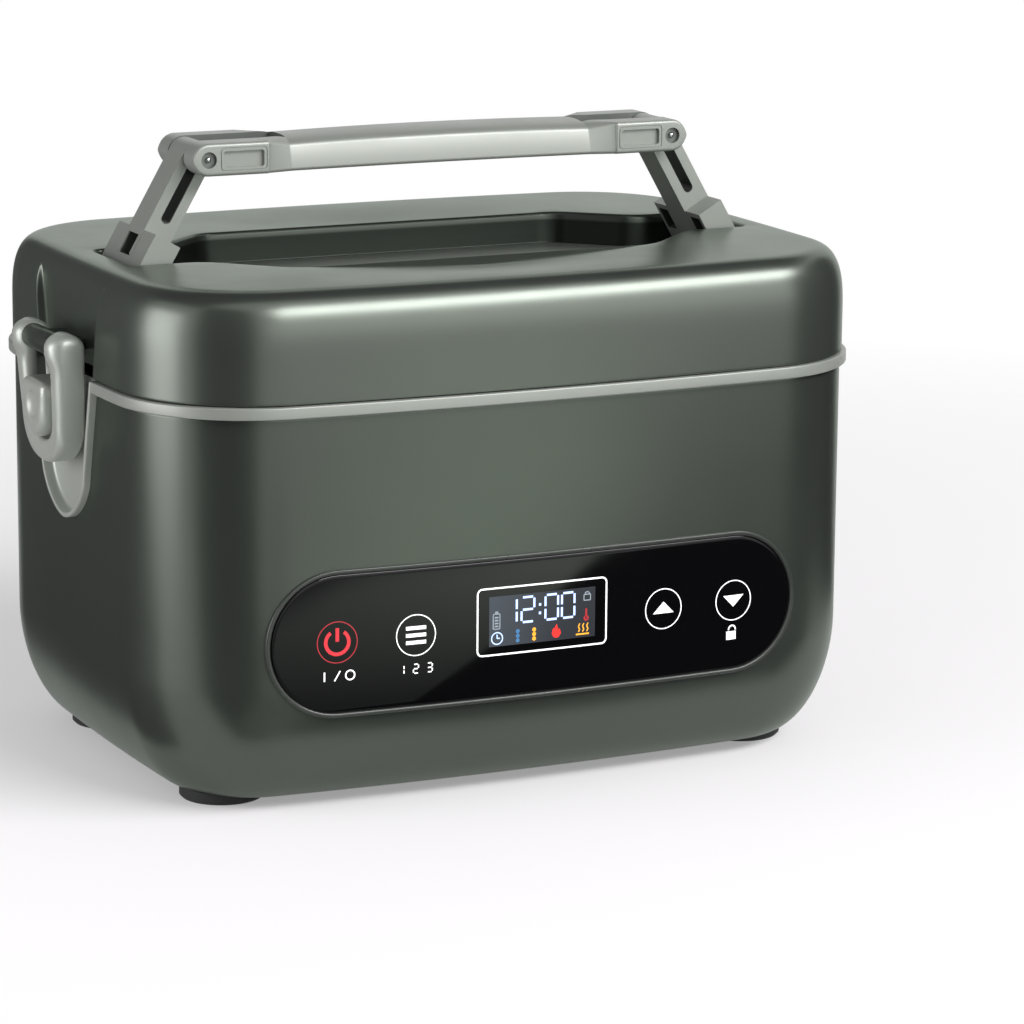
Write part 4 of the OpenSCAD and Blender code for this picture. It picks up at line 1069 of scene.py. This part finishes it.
class Ink:
    """Thin shapes printed on the panel, drawn in millimetres about a centre."""

    def __init__(self, x, z):
        self.x, self.z, self.b = x, z, Builder()

    def polygon(self, points, lift=INK_LIFT):
        face, back = (self.b.loop([on_front(self.x + x, self.z + z, out) for x, z in points])
                      for out in (lift, INK_BACK))
        self.b.join(back, face)
        self.b.faces += [tuple(face), tuple(back[::-1])]
        return self

    def arc(self, r, width, first=0, last=360, n=40, cx=0, cz=0):
        angles = [radians(t) for t in steps(first, last, n)]
        for t0, t1 in zip(angles, angles[1:]):
            self.polygon([(cx + reach * cos(t), cz + reach * sin(t)) for reach, t in (
                (r + width / 2, t0), (r + width / 2, t1), (r - width / 2, t1), (r - width / 2, t0))])
        return self

    def bar(self, x0, z0, x1, z1, width):
        d = Vector((x1 - x0, z1 - z0)).normalized() * width / 2
        s = Vector((-d.y, d.x))
        return self.polygon([(x + k * s.x, z + k * s.y) for x, z, k in (
            (x0, z0, -1), (x1, z1, -1), (x1, z1, 1), (x0, z0, 1))])

    def outline(self, half_w, half_h, r, width):
        """Rounded frame. Its long sides are cut up, so that they follow the bow."""
        out, inn = (rectangle(half_w, half_h, r, grow, 6) for grow in (width / 2, -width / 2))
        for i, corner in enumerate(out):
            k = (i + 1) % len(out)
            cut = max(1, int((out[k] - corner).length / 4))
            for j in range(cut):
                a, b = j / cut, (j + 1) / cut
                self.polygon([corner.lerp(out[k], a), corner.lerp(out[k], b), inn[i].lerp(inn[k], b),
                              inn[i].lerp(inn[k], a)])
        return self

    def bars(self, width, *ends):
        for x0, z0, x1, z1 in ends:
            self.bar(x0, z0, x1, z1, width)
        return self

    def number(self, x, z, w, h, width, value):
        """One digit of seven segments, with its lower left corner at x, z."""
        for x0, z0, x1, z1 in (SEGMENTS[name] for name in DIGITS[value]):
            start, end = Vector((x + x0 * w, z + z0 * h)), Vector((x + x1 * w, z + z1 * h))
            gap = (end - start).normalized() * width * 0.62
            self.bar(*(start + gap), *(end - gap), width)
        return self

    def done(self, name, ink_name):
        return piece(self.b.object(name, 30), "base", "panel_black", INKS[ink_name])


print("shapes for the digits", *DIGITS)

# %% Touch keys
KEY_Z, KEY_R, MARK_Z = 0.6, 6.2, -9.6
POWER_X, MODE_X, UP_X, DOWN_X = -65.9, -41.15, 41.15, 65.9
for x, name, colour in ((POWER_X, "power", "ink_dull_red"), (MODE_X, "mode", "ink_white"),
                        (UP_X, "up", "ink_white"), (DOWN_X, "down", "ink_white")):
    Ink(x, KEY_Z).arc(KEY_R, 0.3, n=56).done("key_ring_" + name, colour)
Ink(POWER_X, KEY_Z).arc(3.6, 1.1, 125, 415, 28).bar(0, 0.2, 0, 4.3, 1.1).done("key_power", "ink_red")
Ink(MODE_X, KEY_Z).bars(1.1, *((-3.2, z, 3.2, z) for z in (-2.2, 0, 2.2))).done("key_mode", "ink_white")
Ink(UP_X, KEY_Z).polygon([(-3.6, -1.4), (3.6, -1.4), (0, 2.2)]).done("key_up", "ink_white")
Ink(DOWN_X, KEY_Z).polygon([(-3.6, 1.6), (0, -2.0), (3.6, 1.6)]).done("key_down", "ink_white")
lock = Ink(65.3, -9.5).polygon([(-1.7, -2.2), (1.7, -2.2), (1.7, 0.4), (-1.7, 0.4)])
lock.arc(1.2, 0.45, -10, 190, 12, 0.3, 1.0).done("key_lock", "ink_white")
marks = Ink(POWER_X, MARK_Z).bar(-4.0, -1.4, -4.0, 1.4, 0.45).bar(-0.9, -1.5, 0.9, 1.5, 0.4)
marks.arc(1.4, 0.42, 0, 360, 24, 4.0, 0).done("power_marks", "ink_white")
numbers = Ink(MODE_X, MARK_Z)
for x, value in ((-5.4, "1"), (-0.8, "2"), (3.6, "3")):
    numbers.number(x, -1.35, 1.6, 2.7, 0.36, value)
numbers.done("mode_numbers", "ink_white")
print("keys printed")

# %% Display
SCREEN_Z = 2.3
Ink(0, SCREEN_Z).outline(21.4, 10.2, 1.6, 0.5).done("display_frame", "ink_white")
screen, columns = Ink(0, SCREEN_Z), steps(-17.6, 17.6, 8)
for x0, x1 in zip(columns, columns[1:]):
    screen.polygon([(x0, -7.65), (x1, -7.65), (x1, 7.65), (x0, 7.65)], 0.43)
# painted sheen: the screen's glow is strong at its left and fades out towards its right
tree = INKS["screen_painted_sheen"].node_tree
apart = add_node(tree, "SeparateXYZ", {0: place(tree)})
feed(tree, "Emission Strength", mapped(tree, apart.outputs["X"], 3.0, 0.1, -0.024, 0.006))
screen.done("display_screen", "screen_painted_sheen")
clock = Ink(0, SCREEN_Z)
for x, value in ((-12.8, "1"), (-7.0, "2"), (0.9, "0"), (6.4, "0")):
    clock.number(x, -1.0, 4.2, 7.6, 0.68, value)
clock.bars(0.75, (-0.9, 3.5, -0.9, 4.3), (-0.9, 0.9, -0.9, 1.7)).done("clock_digits", "ink_blue")
battery = Ink(-15.2, SCREEN_Z).outline(1.1, 2.3, 0.3, 0.3).bar(-0.5, 2.8, 0.5, 2.8, 0.5)
battery.bars(0.45, *((-0.6, z, 0.6, z) for z in (-1.5, -0.6, 0.3, 1.2))).done("battery_symbol", "ink_dim")
Ink(-15.0, SCREEN_Z - 5.2).arc(1.8, 0.35, n=24).bars(0.35, (0, 0, 0, 1.2), (0, 0, 0.9, 0)).done(
    "clock_symbol", "ink_blue")
for x, colour, name in ((-8.2, "ink_deep_blue", "low_level"), (-2.8, "ink_amber", "high_level")):
    level = Ink(x, SCREEN_Z - 5.0).bar(0, -1.7, 0, 1.7, 0.3)
    for z in (1.4, 0, -1.4):
        level.arc(0.45, 0.35, n=12, cz=z)
    level.done(name, colour)
Ink(4.6, SCREEN_Z - 4.9).polygon([
    (-1.5, -0.6), (-0.9, -1.7), (0, -2.0), (0.9, -1.7), (1.5, -0.6), (1.1, 0.8), (0.7, 0.3), (0.1, 2.3),
    (-0.6, 1.0), (-1.1, 0.9)]).done("flame_symbol", "ink_flame")
heat = Ink(13.4, SCREEN_Z - 4.7).bar(-2.2, -1.9, 2.2, -1.9, 0.45)
for x in (-1.4, 0, 1.4):
    heat.bars(0.35, (x, -1.2, x + 0.45, -0.4), (x + 0.45, -0.4, x, 0.5), (x, 0.5, x + 0.45, 1.4))
heat.done("heat_symbol", "ink_amber")
Ink(14.9, SCREEN_Z + 4.6).outline(1.1, 0.9, 0.2, 0.3).arc(0.75, 0.3, 0, 180, 10, 0, 0.95).done(
    "lock_symbol", "ink_dim")
Ink(14.6, SCREEN_Z - 0.4).bar(0, -1.2, 0, 1.6, 0.6).arc(0.6, 0.6, n=12, cz=-1.4).done(
    "thermometer", "ink_dull_red")
print("display printed")

# %% [markdown]
# ## Floor
# The floor is a pale sheet. Close to the box it keeps the soft shadow, and farther out it fades into a plain
# white backdrop. A brighter lamp would wash out the box as well, so the white comes from the sheet's own glow,
# and only rays from the camera, from gloss and through glass see it.

# %% Floor
def seen(tree):
    """1 for rays from the camera, from gloss and through glass, and 0 for the light that bounces about."""
    path = add_node(tree, "LightPath")
    total = path.outputs["Is Camera Ray"]
    for name in ("Is Glossy Ray", "Is Transmission Ray"):
        total = maths(tree, "ADD", total, path.outputs[name], use_clamp=True)
    return total


def floor_sheet():
    b, half = Builder(), 6000
    b.stack([[(-half, y, 0), (half, y, 0)] for y in (-half, half)], closed=False)
    obj = b.object("floor")
    material, tree = new_material("floor_paper", srgb(232, 232, 232), 0.9, specular=0.0)
    feed(tree, "Normal", bump(tree, noise(tree, 500, 3), 0.05, 0.1))
    reach = add_node(tree, "VectorMath", {0: place(tree)}, operation="LENGTH").outputs["Value"]
    share = maths(tree, "MULTIPLY", seen(tree), mapped(tree, reach, 0.3, 1.0, 0.25, 0.75))
    glow = add_node(tree, "Emission").outputs["Emission"]
    paper = tree.nodes["Principled BSDF"].outputs["BSDF"]
    mix = add_node(tree, "MixShader", {"Fac": share, 1: paper, 2: glow})
    tree.links.new(mix.outputs[0], tree.nodes["Material Output"].inputs["Surface"])
    obj.data.materials.append(material)


floor_sheet()
print("floor laid")

# %% [markdown]
# ## Lights
# The light is plain. The world is an even pale surround, a wide softbox hangs above the front and draws the
# highlight along the rolled edge of the lid, a low fill lightens the front, and an upright strip at the left
# draws the bright line down the corner.

# %% World and lamps
WORLD_LEVEL = 0.45
world = bpy.data.worlds.new("studio")
world.use_nodes = True
tree = world.node_tree
surround = tree.nodes["Background"].inputs
surround["Color"].default_value = (1, 1, 1, 1)
tree.links.new(mapped(tree, seen(tree), WORLD_LEVEL, 1.0, 0.0, 1.0), surround["Strength"])
scene.world = world


def softbox(name, azimuth, elevation, distance, size, power, colour=(1, 1, 1)):
    """A rectangular light that looks at the box from a heading (0 is +Y, 90 is +X) and a height angle."""
    a, e = radians(azimuth), radians(elevation)
    aim = Vector((0, 0, 0.1))
    data = bpy.data.lights.new(name, "AREA")
    data.shape, (data.size, data.size_y), data.energy, data.color = "RECTANGLE", size, power, colour
    obj = bpy.data.objects.new(name, data)
    obj.location = aim + distance * Vector((sin(a) * cos(e), cos(a) * cos(e), sin(e)))
    obj.rotation_euler = (aim - obj.location).to_track_quat("-Z", "Y").to_euler()
    scene.collection.objects.link(obj)


softbox("key_softbox", 150, 37, 1.5, (1.4, 0.46), 26, (1.0, 0.965, 1.0))
softbox("front_fill", 158, 11, 2.2, (2.6, 0.7), 6)
softbox("left_strip", -88, 6, 0.62, (0.3, 0.4), 1.7, (1.0, 0.95, 1.0))

# %% [markdown]
# ## Cards
# Satin and glass look the way their surroundings look, so a studio is also dressed with cards. Dark flags
# keep the white backdrop off the sides and corners, which gives the form its dark edges. One card with a
# slanting edge lies in front and shows as the diagonal sheen in the glass. Only reflections see the cards.

# %% Cards
def card(name, corners, material):
    b = Builder()
    b.faces.append(tuple(b.loop(corners)))
    obj = b.object(name)
    obj.data.materials.append(material)
    obj.visible_camera = obj.visible_diffuse = obj.visible_shadow = obj.visible_transmission = False


def sheen_fade():
    """The glow of the front card: sharp at its slanting edge, fading away from it and from the box."""
    material = bpy.data.materials.new("panel_card_fade")
    material.use_nodes = True
    tree = material.node_tree
    point = place(tree)
    # distance to the left of the slanting edge, which runs through (8, -204) and (166, -373)
    along = measured(tree, point, (-0.7305, -0.6829, 0))
    ramp = add_node(tree, "ValToRGB", {"Fac": mapped(tree, along, 0.0, 1.0, 0.1335, 0.2735)})
    stops = ramp.color_ramp.elements
    stops[0].color, stops[1].color = (0, 0, 0, 1), (0.15, 0.15, 0.15, 1)
    for position, level in ((0.005, 0.0), (0.012, 1.0), (0.75, 0.6)):
        stops.new(position).color = (0.92 * level, level, 0.9 * level, 1)
    apart = add_node(tree, "SeparateXYZ", {0: point})
    strength = mapped(tree, apart.outputs["Y"], 2.8, 0.4, -0.38, -0.2)
    glow = add_node(tree, "Emission", {"Color": ramp.outputs["Color"], "Strength": strength})
    tree.links.new(glow.outputs["Emission"], tree.nodes["Material Output"].inputs["Surface"])
    return material


card("panel_card", [(-120, -110, 1.2), (620, -110, 1.2), (620, -560, 1.2), (-120, -560, 1.2)], sheen_fade())
for name, grey, corners in (
        ("side_flag_floor", 0.12, [(-130, -60, 1), (-130, 500, 1), (-700, 500, 1), (-700, 100, 1)]),
        ("side_flag_wall", 0.12, [(-40, 520, 0), (-650, 300, 0), (-650, 300, 700), (-40, 520, 700)]),
        ("corner_flag_floor", 0.0, [(-110, -100, 1), (-400, -190, 1), (-200, -460, 1), (-80, -110, 1)]),
        ("corner_flag_wall", 0.0, [(-400, -190, 0), (-200, -460, 0), (-200, -460, 500), (-400, -190, 500)]),
        ("right_flag_floor", 0.0, [(300, -130, 1), (680, -330, 1), (680, 300, 1), (260, 60, 1)]),
        ("right_flag_wall", 0.0, [(600, -500, 0), (680, 300, 0), (680, 300, 500), (600, -500, 500)]),
        ("top_flag", 0.0, [(-700, -250, 700), (700, -250, 700), (700, 500, 700), (-700, 500, 700)])):
    card(name, corners, new_material("flag_card", (grey, grey, grey), 1.0, specular=0.0)[0])
print("cards placed")
